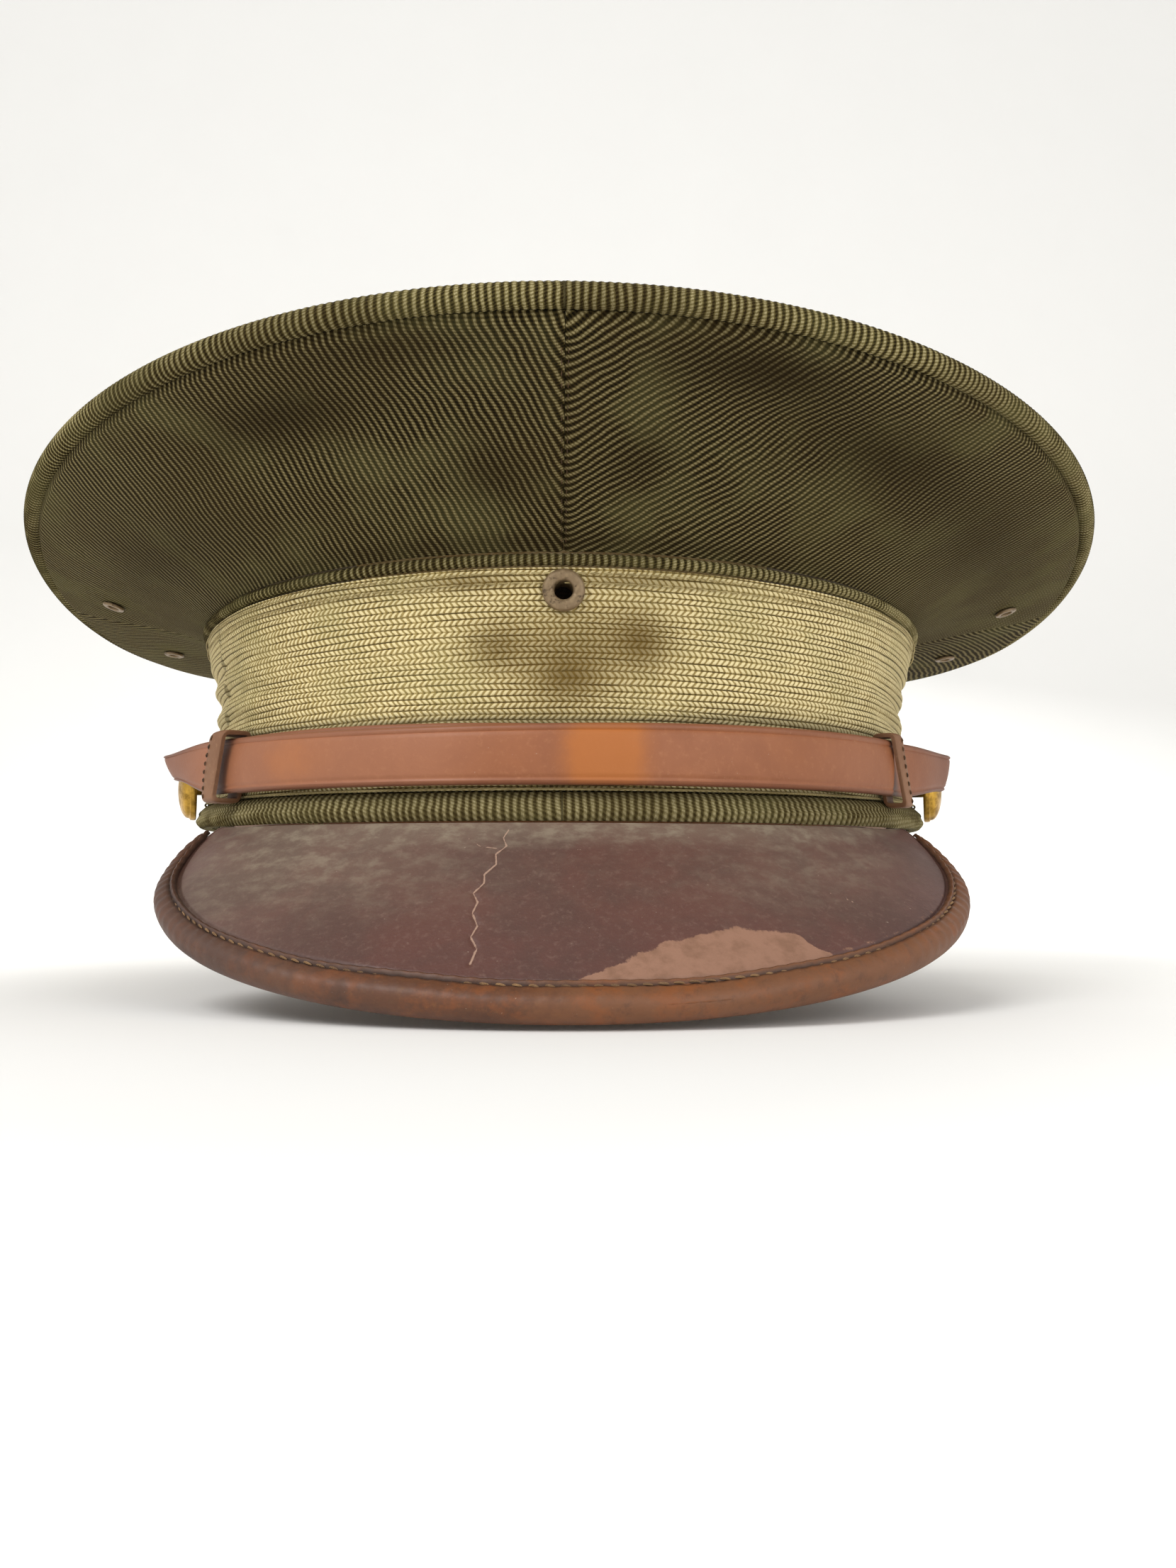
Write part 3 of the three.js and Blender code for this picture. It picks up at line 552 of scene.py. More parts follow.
def twill_look(name, dark, mid, light, ribs=True):
    """Wool twill. The field "cloth" holds the distances across and along the ribs, and "stain" the
    dirt."""
    k = Look(name, sheen_weight=0.06, sheen_roughness=0.5, sheen_tint="8a7a4c", specular_ior_level=0.08)
    at = k.place()
    cloth = k.vector("cloth")
    across, along, _ = k.split(cloth)
    wander = k.noise(cloth, 0.12, 2)
    phase = k.add(k.times(across, 1 / RIB_PITCH), k.times(wander, 1.1))
    wave = k.wave(phase)
    ridge = k.between(wave, -1, 0.9)
    # Yarn: short floats that lie across each rib.
    twist = k.add(k.times(along, 1 / 0.62), k.times(phase, 0.9))
    float_wave = k.wave(twist)
    yarn = k.between(float_wave, -1, 0.7)
    fibre = k.noise(k.stretch(cloth, 3, 1.1, 1), 2.2, 4, 0.65)
    height = k.add(k.times(ridge, 1.0 if ribs else 0.2), k.times(yarn, 0.28))
    height = k.add(height, k.times(fibre, 0.45))
    # The colour follows the ribs: the valleys between them and between the yarn floats are painted
    # darker, as painted shade.
    tone = k.add(k.times(ridge, 0.62), k.times(yarn, 0.18))
    tone = k.add(tone, k.times(k.less(fibre, 0.5), 0.75), clamp=True)
    base = k.mix(k.between(tone, 0, 0.55), dark, mid)
    base = k.mix(k.between(tone, 0.5, 1), base, light)
    patch = k.between(k.noise(at, 0.035, 4, 0.6), 0.35, 0.68)
    base = k.tint(base, patch, 0.3, "3a2c14")
    green = k.between(k.noise(at, 0.06, 3, 0.5), 0.45, 0.7)
    base = k.tint(base, green, 0.22, "6e6b42")
    base = k.tint(base, k.field("stain"), 0.8, "211706")
    lint = k.between(k.noise(k.stretch(at, 1, 1, 0.35), 1.9, 2, 0.5), 0.79, 0.84)
    base = k.tint(base, lint, 0.55, "b8ae8c")
    return k.finish(base, 0.95, k.bump(height, 0.3, 0.9))


def braid_look():
    """Golden mohair braid. "cloth" holds the distance along the band, the row, and the place in
    the row."""
    sheen = {"sheen_weight": 0.08, "sheen_roughness": 0.4, "sheen_tint": "e8d8a0"}
    k = Look("mohair_braid", specular_ior_level=0.3, **sheen)
    at = k.place()
    cloth = k.vector("cloth")
    along, row, inside = k.split(cloth)
    fold = k.math("ABSOLUTE", k.less(inside, 0.5))
    half = k.math("FRACT", k.times(row, 2))
    jitter = k.noise(cloth, 0.5, 2)
    slant = k.add(k.times(along, 1 / 1.2), k.times(fold, 1.5))
    slant = k.add(slant, k.times(jitter, 0.7))
    stitch = k.between(k.wave(slant), -1, 0.5)
    bulge = k.between(k.math("ABSOLUTE", k.less(half, 0.5)), 0.5, 0.28)
    hair = k.noise(k.stretch(cloth, 2.2, 6, 6), 1.6, 4, 0.6)
    # The rows lie closer together in places, where less shade falls between them.
    closeness = k.between(k.noise(k.stretch(cloth, 0.05, 0.6, 0), 1.0, 3, 0.6), 0.4, 0.62, 0, 0.55)
    bulge = k.math("MAXIMUM", bulge, closeness)
    # The tone is darkest in the valleys between the rows: painted shade.
    tone = k.times(k.add(k.times(stitch, 0.65), 0.35), bulge)
    tone = k.add(tone, k.times(k.less(hair, 0.5), 0.8), clamp=True)
    base = k.mix(k.between(tone, 0, 0.4), "3c2b0f", "a18b52")
    base = k.mix(k.between(tone, 0.35, 0.95), base, "f0dfab")
    patch = k.between(k.noise(at, 0.05, 3, 0.6), 0.4, 0.7)
    base = k.tint(base, patch, 0.25, "8f8a55")
    # The "stain" and "grime" fields hold stains and grime, and painted shade under the upper welt and
    # behind the strap.
    base = k.mix(k.times(k.field("stain"), 1.25, clamp=True), base, "5e4507")
    base = k.tint(base, k.field("grime"), 0.55, "3b331d")
    height = k.add(k.times(stitch, 0.7), k.times(hair, 0.5))
    return k.finish(base, 0.8, k.bump(height, 0.22, 0.8))


def leather_look(name, base_code, patch_code, light_code, rough, grain):
    """Worn leather: blotches of two browns, scuffed light patches, and a fine grain. Returns what a
    piece's own marks are laid over."""
    k = Look(name, specular_ior_level=0.45, coat_weight=0.08, coat_roughness=0.35)
    at = k.place()
    blotch = k.between(k.noise(at, 0.06, 5, 0.62, 0.4), 0.34, 0.66)
    base = k.tint(base_code, blotch, 0.7, patch_code)
    fine = k.noise(at, 0.9, 4, 0.7)
    base = k.mix(k.between(fine, 0.5, 0.8, 0, 0.35), base, light_code)
    speck = k.between(k.noise(at, 1.6, 2, 0.5), 0.74, 0.8)
    base = k.tint(base, speck, 0.4, "c9b8a4")
    grain_cells = k.cells(at, 1.7)
    rough_map = k.add(k.times(blotch, 0.12), rough)
    rough_map = k.add(rough_map, k.times(fine, 0.15))
    height = k.add(k.times(grain_cells, 0.6), k.times(fine, 0.5))
    return k, at, base, rough_map, k.bump(height, grain, 0.6)


def visor_look():
    k, at, base, rough, normal = leather_look("visor_leather", "5c3a33", "4a322b", "8a6f62", 0.42, 0.08)
    scuff = k.between(k.noise(k.stretch(at, 1, 1, 2.2), 0.22, 6, 0.7), 0.42, 0.7)
    # The "dust" field greys the leather: dust, and painted sheen at the top-left.
    dust = k.times(k.field("dust"), k.add(k.times(scuff, 0.7), 0.45), clamp=True)
    base = k.tint(base, dust, 0.85, "897b68")
    ragged = k.add(k.field("wear"), k.times(k.less(k.noise(at, 0.28, 6, 0.75), 0.5), 0.95))
    worn = k.between(ragged, 0.46, 0.56)
    tan = k.mix(k.between(k.noise(at, 0.3, 4, 0.6), 0.4, 0.7), "97705a", "84604a")
    base = k.mix(k.times(worn, 0.9), base, tan)
    breadth = k.between(k.noise(at, 0.5, 3, 0.6), 0.35, 0.65, 0.14, 0.34)
    line = k.between(k.math("DIVIDE", k.field("scar"), breadth), 1.0, 0.5)
    base = k.tint(base, line, 0.75, "b3937e")
    rough = k.add(rough, k.times(dust, 0.25))
    return k.finish(base, k.add(rough, k.times(worn, 0.2)), normal)


def binding_look():
    k, at, base, rough, normal = leather_look(
        "binding_leather", "5e371f", "3c261b", "99683a", 0.46, 0.07)
    wear = k.between(k.add(k.field("wear"), k.times(k.noise(at, 0.25, 5, 0.7), 0.8)), 0.7, 1.15)
    base = k.tint(base, wear, 0.6, "7d4f2e")
    rust = k.between(k.noise(at, 0.14, 6, 0.7), 0.48, 0.66)
    base = k.tint(base, rust, 0.5, "86491c")
    grime = k.between(k.noise(at, 0.45, 5, 0.75), 0.5, 0.7)
    base = k.tint(base, grime, 0.45, "3a2419")
    base = k.tint(base, k.field("dust"), 0.6, "48352d")
    # The "crease" field paints the sunk lip and the fold near black: painted shade in these grooves.
    base = k.tint(base, k.field("crease"), 0.75, "1e130d")
    return k.finish(base, rough, normal)


def strap_look():
    k, at, base, rough, normal = leather_look("strap_leather", "965a34", "875031", "b67c55", 0.42, 0.05)
    warm = k.between(k.add(k.field("warm"), k.times(k.noise(at, 0.3, 4, 0.6), 0.3)), 0.3, 0.9)
    base = k.tint(base, warm, 0.85, "ad6425")
    base = k.tint(base, k.field("pale"), 0.5, "a26c4f")
    # The "edge" field darkens the strap's edges, and its end as painted shade where it turns in at the
    # button.
    base = k.tint(base, k.field("edge"), 0.75, "6b4638")
    return k.finish(base, rough, normal)


def keeper_look():
    k, _, base, rough, normal = leather_look("keeper_leather", "8a6040", "734c31", "b08a66", 0.55, 0.07)
    # The "edge" field darkens the keeper's edges, and its inner face as painted shade inside the loop.
    base = k.tint(base, k.field("edge"), 0.4, "4a3325")
    return k.finish(base, rough, normal)


def plain_leather(name, base_code, patch_code, light_code, rough):
    k, _, *sockets = leather_look(name, base_code, patch_code, light_code, rough, 0.06)
    return k.finish(*sockets)


def metal_look(name, base_code, tarnish_code, rough):
    k = Look(name, metallic=1.0)
    at = k.place()
    tarnish = k.between(k.noise(at, 0.5, 5, 0.65), 0.4, 0.68)
    base = k.tint(base_code, tarnish, 0.8, tarnish_code)
    fine = k.noise(k.stretch(at, 1, 1, 6), 1.5, 3, 0.6)
    rough_map = k.add(k.times(tarnish, 0.25), rough)
    return k.finish(base, rough_map, k.bump(fine, 0.03, 0.5))


def woven_look(name, dark, light, pitch, rough=0.7, sheen=0.0):
    """A plain woven cloth or a pressed board, with the threads' size as its pitch."""
    k = Look(name, sheen_weight=sheen)
    at = k.place()
    x, y, z = k.split(k.stretch(at, *[2 * math.pi / pitch] * 3))
    weave = k.times(k.math("SINE", k.add(x, y)), k.math("SINE", k.less(z, x)))
    cloud = k.noise(at, 0.08, 4, 0.6)
    tone = k.add(k.times(weave, 0.2), cloud)
    base = k.mix(k.between(tone, 0.3, 0.75), dark, light)
    return k.finish(base, rough, k.bump(weave, 0.06, 0.6))


def painted_look():
    """Brown-grey paint on an eyelet, chipped through to the metal."""
    k = Look("eyelet_paint", metallic=0.35, specular_ior_level=0.5)
    at = k.place()
    chip = k.between(k.noise(at, 0.55, 6, 0.75), 0.57, 0.62)
    grime = k.between(k.noise(at, 0.9, 4, 0.6), 0.45, 0.7)
    base = k.mix(chip, "7f6a4e", "54432e")
    base = k.tint(base, grime, 0.5, "a08a68")
    rough = k.add(k.times(grime, 0.2), 0.42)
    return k.finish(base, rough, k.bump(k.less(1, chip), 0.08, 0.7))


# Each look, with the material slot of the CAD part that it matches; the slot's name is not used.
LOOKS = {
    "cloth": (twill_look("crown_cloth", "0b0701", "4d4224", "a6996f"), "crown_cloth"),
    "welt": (twill_look("welt_cloth", "1d1505", "6a5f38", "bbaf84", ribs=False), "welt_cloth"),
    "lower_welt": (
        twill_look("lower_welt_cloth", "3c3219", "776c47", "b0a57e", ribs=False), "welt_cloth"),
    "braid": (braid_look(), "braid"),
    "visor": (visor_look(), "visor_leather"),
    "visor_under": (
        plain_leather("visor_lining_leather", "5a4434", "4a3628", "7c6450", 0.6), "visor_leather"),
    "binding": (binding_look(), "binding_leather"),
    "strap": (strap_look(), "strap_leather"),
    "keeper": (keeper_look(), "strap_leather"),
    "sweatband": (
        plain_leather("sweatband_leather", "8d5c36", "744726", "a97a50", 0.5), "sweatband_leather"),
    "board": (woven_look("stiffening", "5b513f", "837762", 0.9, 0.9), "stiffening"),
    "lining": (woven_look("lining_satin", "6d5c3a", "94825a", 0.5, 0.42, 0.3), "lining"),
    "shield": (woven_look("sweat_shield", "a58b55", "c1aa74", 3.5, 0.25), "shield"),
    # A near-black sheet for the badge hole: painted shade.
    "hole_shade": (woven_look("hole_shade_material", "0e0a06", "2e2012", 0.8, 0.95), "stiffening"),
    "steel": (metal_look("spring_steel", "8c8c88", "5d554a", 0.35), "steel"),
    "brass": (metal_look("brass", "c49a45", "7d5f2a", 0.28), "brass"),
    "paint": (painted_look(), "eyelet_paint"),
    "thread": (woven_look("thread", "87764a", "c4b27c", 0.4, 0.8), "braid"),
    "visor_thread": (woven_look("visor_thread", "5d432b", "94724c", 0.4, 0.7), "binding_leather"),
    "dark_thread": (woven_look("dark_thread", "3a2a1c", "6b4f34", 0.4, 0.8), "strap_leather"),
}


def cut(piece, width, length, rests_on, area=None):
    """Takes a sheet and the size it was cut to, in mm; it records nothing, and only converts the area.
    Every sheet of the cap is sewn taut.
    """
    area = None if area is None else float(area) * MM * MM


# ---- The crown's quarters ----

QUARTER_THICKNESS = 1.4
QUARTER_REACH = 0.985
QUARTER_ROWS = 150
CROWN_MEAN_RADIUS = 105
SEAM_GAP = 0.06
RIB_STEEP, RIB_SHALLOW = math.radians(62), math.radians(30)


# Soft spots of the crown's wall: strength, degrees from the front, share of the way up, and reaches.
CROWN_DENTS = [
    (-2.1, 24, 0.62, 15, 0.17), (-1.1, 11, 0.3, 7, 0.28), (0.9, 42, 0.42, 12, 0.2),
    (-1.2, 78, 0.5, 14, 0.25), (0.8, 150, 0.5, 14, 0.3),
]
CROWN_STAINS = [
    (0.9, 17, 0.84, 9, 0.12), (0.7, 34, 0.62, 12, 0.16), (0.55, 8, 0.42, 3.5, 0.12),
    (0.5, -8, 0.35, 4, 0.14), (0.75, -27, 0.7, 8, 0.13), (0.5, -14, 0.9, 9, 0.08),
    (0.45, 58, 0.55, 16, 0.25), (0.4, -60, 0.4, 15, 0.2),
]


def crown_relief(u, t):
    """Soft dents and folds of the crown's wall, in mm outwards."""
    a = round_from_front(u)
    relief = spots(np.abs(a), t, CROWN_DENTS) + bell(a, 0, 4.5) * smooth(0, 0.4, t)
    relief = relief + 0.5 * np.sin(np.radians(a * 5 + 60 * t)) * smooth(0.1, 0.5, t) * (1 - t)
    return relief * smooth(0, 0.12, t) * smooth(1, 0.9, t)


def crown_stain(u, t):
    a = round_from_front(u)
    return np.clip(spots(a, t, CROWN_STAINS) + 0.5 * spot(np.abs(a), t, 4, 0.05, 40, 0.05), 0, 1)


def flat_pattern(u, t):
    """The cloth laid flat: distances from the quarter's centre seam and up its wall."""
    foot, rim = wall_face(u, 0 * u), wall_face(u, 0 * u + 1)
    steps = np.linspace(0, 1, 9)
    ups = np.linalg.norm(np.diff(wall_face(u[:, None], steps[None, :]), axis=1), axis=2).sum(1)
    foot_run = np.linalg.norm(np.diff(foot, axis=0), axis=1)
    rim_run = np.linalg.norm(np.diff(rim, axis=0), axis=1)
    fan = np.concatenate([[0], np.cumsum((rim_run - foot_run) / ups[1:])])
    x = np.concatenate([[0], np.cumsum(foot_run * np.cos(fan[1:]))])
    y = np.concatenate([[0], np.cumsum(-foot_run * np.sin(fan[1:]))])
    reach = ups[:, None] * t
    return x[:, None] + np.sin(fan)[:, None] * reach, y[:, None] + np.cos(fan)[:, None] * reach


def quarter(name, centre_seam, sign, slope):
    """One quarter, from its centre seam (front or back) to its side seam. slope is its ribs' angle."""
    margin = SEAM_GAP / 2 / FRONT_ARC_RADIUS
    columns = 260 if centre_seam else 460
    halfway = lambda a: wall_face(centre_seam + sign * a, 0 * a + 0.5)
    w, _ = even(halfway, margin, math.pi / 2 - margin, columns)
    u = centre_seam + sign * w
    p, low = sheet(np.linspace(0, QUARTER_REACH, QUARTER_ROWS), -QUARTER_THICKNESS, 0)
    uu, tt = np.broadcast_arrays(u[:, None], p[None, :])
    # The cloth dips into each seam and swells beside it, less so at the side seam, and turns in
    # under the edge welt.
    edge = np.minimum(w - w[0], w[-1] - w)[:, None] * CROWN_MEAN_RADIUS
    fold = -0.6 * bell(edge, 0, 0.55) + 0.3 * bell(edge, 2.2, 1.5)
    fold = fold * np.where(w > math.pi / 4, 0.25, 1)[:, None] - 1.6 * smooth(0.95, 1, tt)
    q = low[None, :] + crown_relief(uu, tt) + np.where(low[None, :] == 0, fold, 0)
    fx, fy = flat_pattern(u, p[None, :])
    across = -math.sin(slope) * fx + math.cos(slope) * fy
    along = math.cos(slope) * fx + math.sin(slope) * fy
    points, faces = sweep(u, p[None, :], q, wall_point)
    fields = {"cloth": np.stack([across, along, 0 * along], -1), "stain": crown_stain(uu, tt)}
    piece = make(name, points, faces, "cloth", fields=fields)
    flat = [np.stack(flat_pattern(u, 0 * u[:, None] + t), -1)[:, 0] for t in (0, QUARTER_REACH)]
    outline = np.concatenate([flat[0], flat[1][::-1]])
    after = np.roll(outline, -1, axis=0)
    area = abs((outline[:, 0] * after[:, 1] - outline[:, 1] * after[:, 0]).sum()) / 2
    cut(piece, *np.ptp(outline, axis=0)[::-1], ["band_upper_welt", "crown_edge_welt"], area)


quarter("crown_quarter_front_right", 0, 1, RIB_SHALLOW)
quarter("crown_quarter_front_left", 0, -1, RIB_STEEP)
quarter("crown_quarter_rear_right", math.pi, -1, RIB_STEEP)
quarter("crown_quarter_rear_left", math.pi, 1, RIB_SHALLOW)

# ---- The top, its edge welt and the band's welts ----

WELT_RIB_PITCH = 1.4
LOWER_WELT_PITCH = 1.5
WELT_COLUMNS = 1900
EDGE_WELT_LIFT = EDGE_WELT_RADIUS + GAP
DIAGONAL = 0.7071


def ribbed(run, lean, pitch, depth):
    """Ribs across a welt, as a depth in mm: run is the distance along it, lean their slant."""
    wave = np.cos(2 * math.pi * (run + lean) / pitch)
    return depth * (0.5 + 0.5 * wave) ** 0.7


def welt(name, centre, place, radius, steps, sides, depth, slant=0.0):
    """A bead of cloth round the cap: centre(u) is its (p, q), and ribs run across it."""
    curve = lambda u: place(u, *centre(u))
    us, run = even(curve, 0, 2 * math.pi, steps, ring=True)
    a = turn(sides)[None, :]
    p0, q0 = centre(us)
    run = run[:, None]
    wandering = run + 0.5 * np.sin(run / 23) + 0.35 * np.sin(run / 7.3 + 1)
    grown = radius - depth + ribbed(wandering, slant * a, WELT_RIB_PITCH, depth)
    p, q = p0[:, None] + grown * np.cos(a), q0[:, None] + grown * np.sin(a)
    points, faces = sweep(us, p, q, place, ring=True)
    full = 0 * p
    fields = {
        "cloth": np.stack([wandering * RIB_PITCH / WELT_RIB_PITCH + full, radius * a + full, full], -1),
        "stain": 0.25 * (np.sin(run / 31 + 2) > 0.5) + full,
    }
    make(name, points, faces, "welt", fields=fields)


welt(
    "crown_edge_welt",
    lambda u: (0 * u + 0.1, 0 * u + EDGE_WELT_LIFT),
    top_point, EDGE_WELT_RADIUS, 2600, 18, 0.16, 0.35,
)
welt(
    "band_upper_welt",
    lambda u: (band_top(u) + UPPER_WELT_RADIUS, 0 * u - 0.4),
    band_point, UPPER_WELT_RADIUS, WELT_COLUMNS, 12, 0.22,
)


def lower_welt():
    corners = [
        (0, -1.3), (0, 0.9), (1.3, LOWER_WELT_REACH), (3.4, 2.0),
        (LOWER_WELT_HEIGHT, 0.4), (LOWER_WELT_HEIGHT, -1.3),
    ]
    z, d = rounded(corners, 0.55, 5).T[:, None, :]
    us, run = even(lambda u: band_point(u, 0 * u, 0 * u), 0, 2 * math.pi, WELT_COLUMNS, ring=True)
    run = run[:, None]
    low = smooth(3.2, 1.4, z) * smooth(0.3, 1.2, d)
    wandering = run + 0.6 * np.sin(run / 19) + 0.3 * np.sin(run / 6.1)
    ribs = ribbed(wandering, 0.25 * z, LOWER_WELT_PITCH, 0.36) * (0.2 + 0.8 * low)
    sag = 0.3 * np.sin(run / 37) * low
    fold = -0.25 * bell(z, 2.9, 0.35) * smooth(0.8, 1.5, d)
    front = smooth(0.3, 0.5, np.cos(us))[:, None]
    droop = 0.9 * front * smooth(1.6, 0, z) * smooth(0.2, 1.4, d)
    points, faces = sweep(us, z - droop, d + ribs - 0.3 + sag + fold, band_point, ring=True)
    full = 0 * (z + ribs)
    fields = {
        "cloth": np.stack([wandering * RIB_PITCH / LOWER_WELT_PITCH + full, z + full, full], -1),
        "stain": 0.2 * smooth(0.6, 0, z) + full,
    }
    make("band_lower_welt", points, faces, "lower_welt", fields=fields)


lower_welt()


def disc(name, radii, inset, heights, look, relief=None, columns=240):
    """A sheet round the crown's centre, between two heights over the rim's plane."""
    us = turn(columns)
    span = np.hypot(*rim_span(us))
    parts, ring_count = [], len(radii)
    r = radii[None, :] + 0 * us[:, None]
    ins = np.maximum((1 - r) * span[:, None], inset)
    for h in heights:
        up = h + (relief(us[:, None], r) if relief else 0 * r)
        middle = top_point(np.zeros(1), span[:1], up[:, -1:].mean(0))
        parts += [top_point(us[:, None], ins, up).reshape(-1, 3), middle]
    points = np.concatenate(parts)
    face = columns * ring_count + 1
    i, nxt = np.arange(columns), (np.arange(columns) + 1) % columns
    quads, fans = [], []
    for base in (0, face):
        for k in range(ring_count - 1):
            a, b = base + i * ring_count + k, base + nxt * ring_count + k
            quads.append(np.stack([a, b, b + 1, a + 1], -1)[:, :: 1 if base else -1])
        last = base + ring_count - 1
        fan = np.stack([last + i * ring_count, last + nxt * ring_count, 0 * i + base + face - 1], -1)
        fans.append(fan[:, :: 1 if base else -1])
    a, b = i * ring_count, nxt * ring_count
    quads.append(np.stack([a, b, face + b, face + a], -1))
    x, y = (points @ np.stack([X, RIM_BACKWARD], -1)).T
    fields = {"cloth": np.stack([(x + y) * DIAGONAL, (x - y) * DIAGONAL, 0 * x], -1), "stain": 0 * x}
    return make(name, points, [np.concatenate(quads), np.concatenate(fans)], look, fields=fields)


def top_relief(u, r):
    """Broad, shallow sags of the top's cloth, and the dip along its edge."""
    x, y = r * np.sin(u), -r * np.cos(u)
    folds = 1.1 * np.sin(3.1 * x + 1.4 * y + 0.6) * np.cos(2.3 * y - 0.9 * x)
    folds = folds + 0.5 * np.sin(7 * x - 3 * y)
    sag = -1.6 * spot(x, y, 0.12, -0.35, 0.35, 0.22, 20) - 1.2 * spot(x, y, -0.3, 0.3, 0.3, 0.25, -30)
    edge = -1.3 * smooth(0.965, 1.0, r)
    return (folds + sag) * smooth(1, 0.75, r) + edge


EVEN_RADII = np.concatenate([[1], np.linspace(0.985, 0.02, 90)])
OVAL_SHARE = math.pi / 4


def cut_oval(piece, share, inset, rests_on):
    """Works out the size of an oval sheet that reaches a share of the way to the rim, less an inset,
    and passes it to cut.
    """
    width, length = [share * (k - 2 * inset) for k in (2 * RIM_HALF_WIDTH, RIM_FRONT + RIM_BACK)]
    cut(piece, width, length, rests_on, OVAL_SHARE * width * length)


TOP_PANEL_INSET, LINING_INSET = EDGE_WELT_RADIUS + GAP, 14
SHIELD_SHARE = 0.42
LINING_RADII, SHIELD_RADII = np.linspace(1, 0.03, 24), np.linspace(SHIELD_SHARE, 0.02, 12)
top_levels = (TOP_HEIGHT + 1.4, TOP_HEIGHT)
top_panel = disc("crown_top_panel", EVEN_RADII, TOP_PANEL_INSET, top_levels, "cloth", top_relief, 320)
cut_oval(top_panel, 1, TOP_PANEL_INSET, ["crown_edge_welt"])
lining = disc("crown_lining_top", LINING_RADII, LINING_INSET, (2.5, 1.9), "lining")
cut_oval(lining, 1, LINING_INSET, ["crown_top_panel"])
shield = disc("sweat_shield", SHIELD_RADII, LINING_INSET, (1.6, 1.1), "shield")
cut_oval(shield, SHIELD_SHARE, 0, ["crown_lining_top"])

# ---- The band ----

AROUND = turn(360)


def girth(place, p, q):
    """The length of a ring round the cap, in mm."""
    loop = place(AROUND, 0 * AROUND + p, 0 * AROUND + q)
    return float(np.linalg.norm(loop - np.roll(loop, 1, axis=0), axis=1).sum())


BADGE_HOLE = (band_point(np.array(0.0), np.array(BADGE_HEIGHT), np.array(0.0)), 2.6)
GIRTH_HEIGHT = 20
ROW_PITCH = 2.2
STITCH_PITCH = 1.2
BRAID_ROWS = 214
# The braid is meshed finely as far round as it is seen from the front.
FINE_REACH = 1.15
# The last two stains are thin strips just under the upper welt: painted shade.
# The braid's marks: strength, degrees from the front, height in mm, reaches and turn.
BRAID_STAINS_AND_SHADE = [
    (0.5, 1.5, 32, 11, 8), (0.42, 11, 33, 4, 6, 12), (0.36, -9.5, 31.5, 4, 4.5),
    (0.42, 0.5, 25, 6, 4.5), (0.14, -6, 19, 14, 3.5), (0.4, 10, 44, 12, 1.6), (0.5, -13, 43.5, 7, 1.5),
]
# Grime, and painted shade: the second spot is a strip under the upper welt. Each gives strength,
# degrees from the front, height in mm and reaches.
BRAID_GRIME_AND_SHADE = [(0.8, 30, 18.5, 14, 2.5), (0.35, -34, 43, 14, 2)]


def braid():
    """The mohair braid: rows of chevrons, each row a rounded ridge, deepest at the front."""
    foot_line = lambda u: band_point(u, 0 * u, 0 * u)
    front, _ = even(foot_line, -FINE_REACH, FINE_REACH, 620)
    back, _ = even(foot_line, FINE_REACH, 2 * math.pi - FINE_REACH, 420)
    us = np.concatenate([front, back[1:-1]])
    run = run_along(foot_line(us))[:, None]
    foot, share = LOWER_WELT_HEIGHT + GAP, np.linspace(0, 1, BRAID_ROWS)
    tops = (band_top(us) - GAP)[:, None]
    inner = np.concatenate([np.linspace(1, 0.8, 14), [0.6, 0.3, 0]])
    s = np.concatenate([share, inner])[None, :]
    p = foot + (tops - foot) * s
    # The rows follow the top edge at the front, and droop towards the sides.
    row = (tops - p) / ROW_PITCH + 0.35
    row = row + 0.1 * np.sin(run / 23) * np.sin(p * 0.35) + 0.05 * np.sin(run / 7.1 + p * 0.9)
    inside = row - np.floor(row)
    half = 2 * row - np.floor(2 * row)
    bulge = 0.3 * (1 - np.abs(2 * half - 1) ** 2.6)
    slant = run / STITCH_PITCH + 1.5 * np.abs(inside - 0.5)
    a = round_from_front(us)[:, None] + 0 * p
    facing = smooth(1.25, 0.8, np.abs(np.radians(a)))
    stitch = 0.1 * np.cos(2 * math.pi * slant) * facing * (1 - np.abs(2 * half - 1) ** 3)
    wave = 0.35 * np.sin(run / 41 + 0.5) * smooth(0.1, 0.5, s) * smooth(1, 0.8, s)
    side = smooth(0.55, 0.95, np.abs(np.sin(us)))[:, None]
    creases = np.sin(p * 1.05 + 2 * np.sin(run / 30)) * smooth(8, 14, p) * smooth(40, 32, p)
    outer = outer_rows(share.size, inner.size)
    surface = -0.45 + bulge + stitch + wave + 0.55 * side * creases
    points, faces = sweep(us, p, BRAID[0] * (1 - outer) + outer * surface, band_point, ring=True)
    # The band at the strap's height, from 5 to 20.5 mm, is painted shade behind the strap.
    grime = spots(a, p, BRAID_GRIME_AND_SHADE) + 0.9 * smooth(20.5, 17.5, p) * smooth(5, 8, p) + 0.3 * side
    fields = {
        "cloth": np.stack([run + 0 * p, row, inside], -1),
        "stain": np.clip(spots(a, p, BRAID_STAINS_AND_SHADE), 0, 1),
        "grime": np.clip(grime, 0, 1),
    }
    piece = make("mohair_braid", points, faces, "braid", fields=fields, sharp=70, hole=BADGE_HOLE)
    cut(piece, tops.mean() - foot, girth(band_point, GIRTH_HEIGHT, 0), ["band_cloth"])


braid()


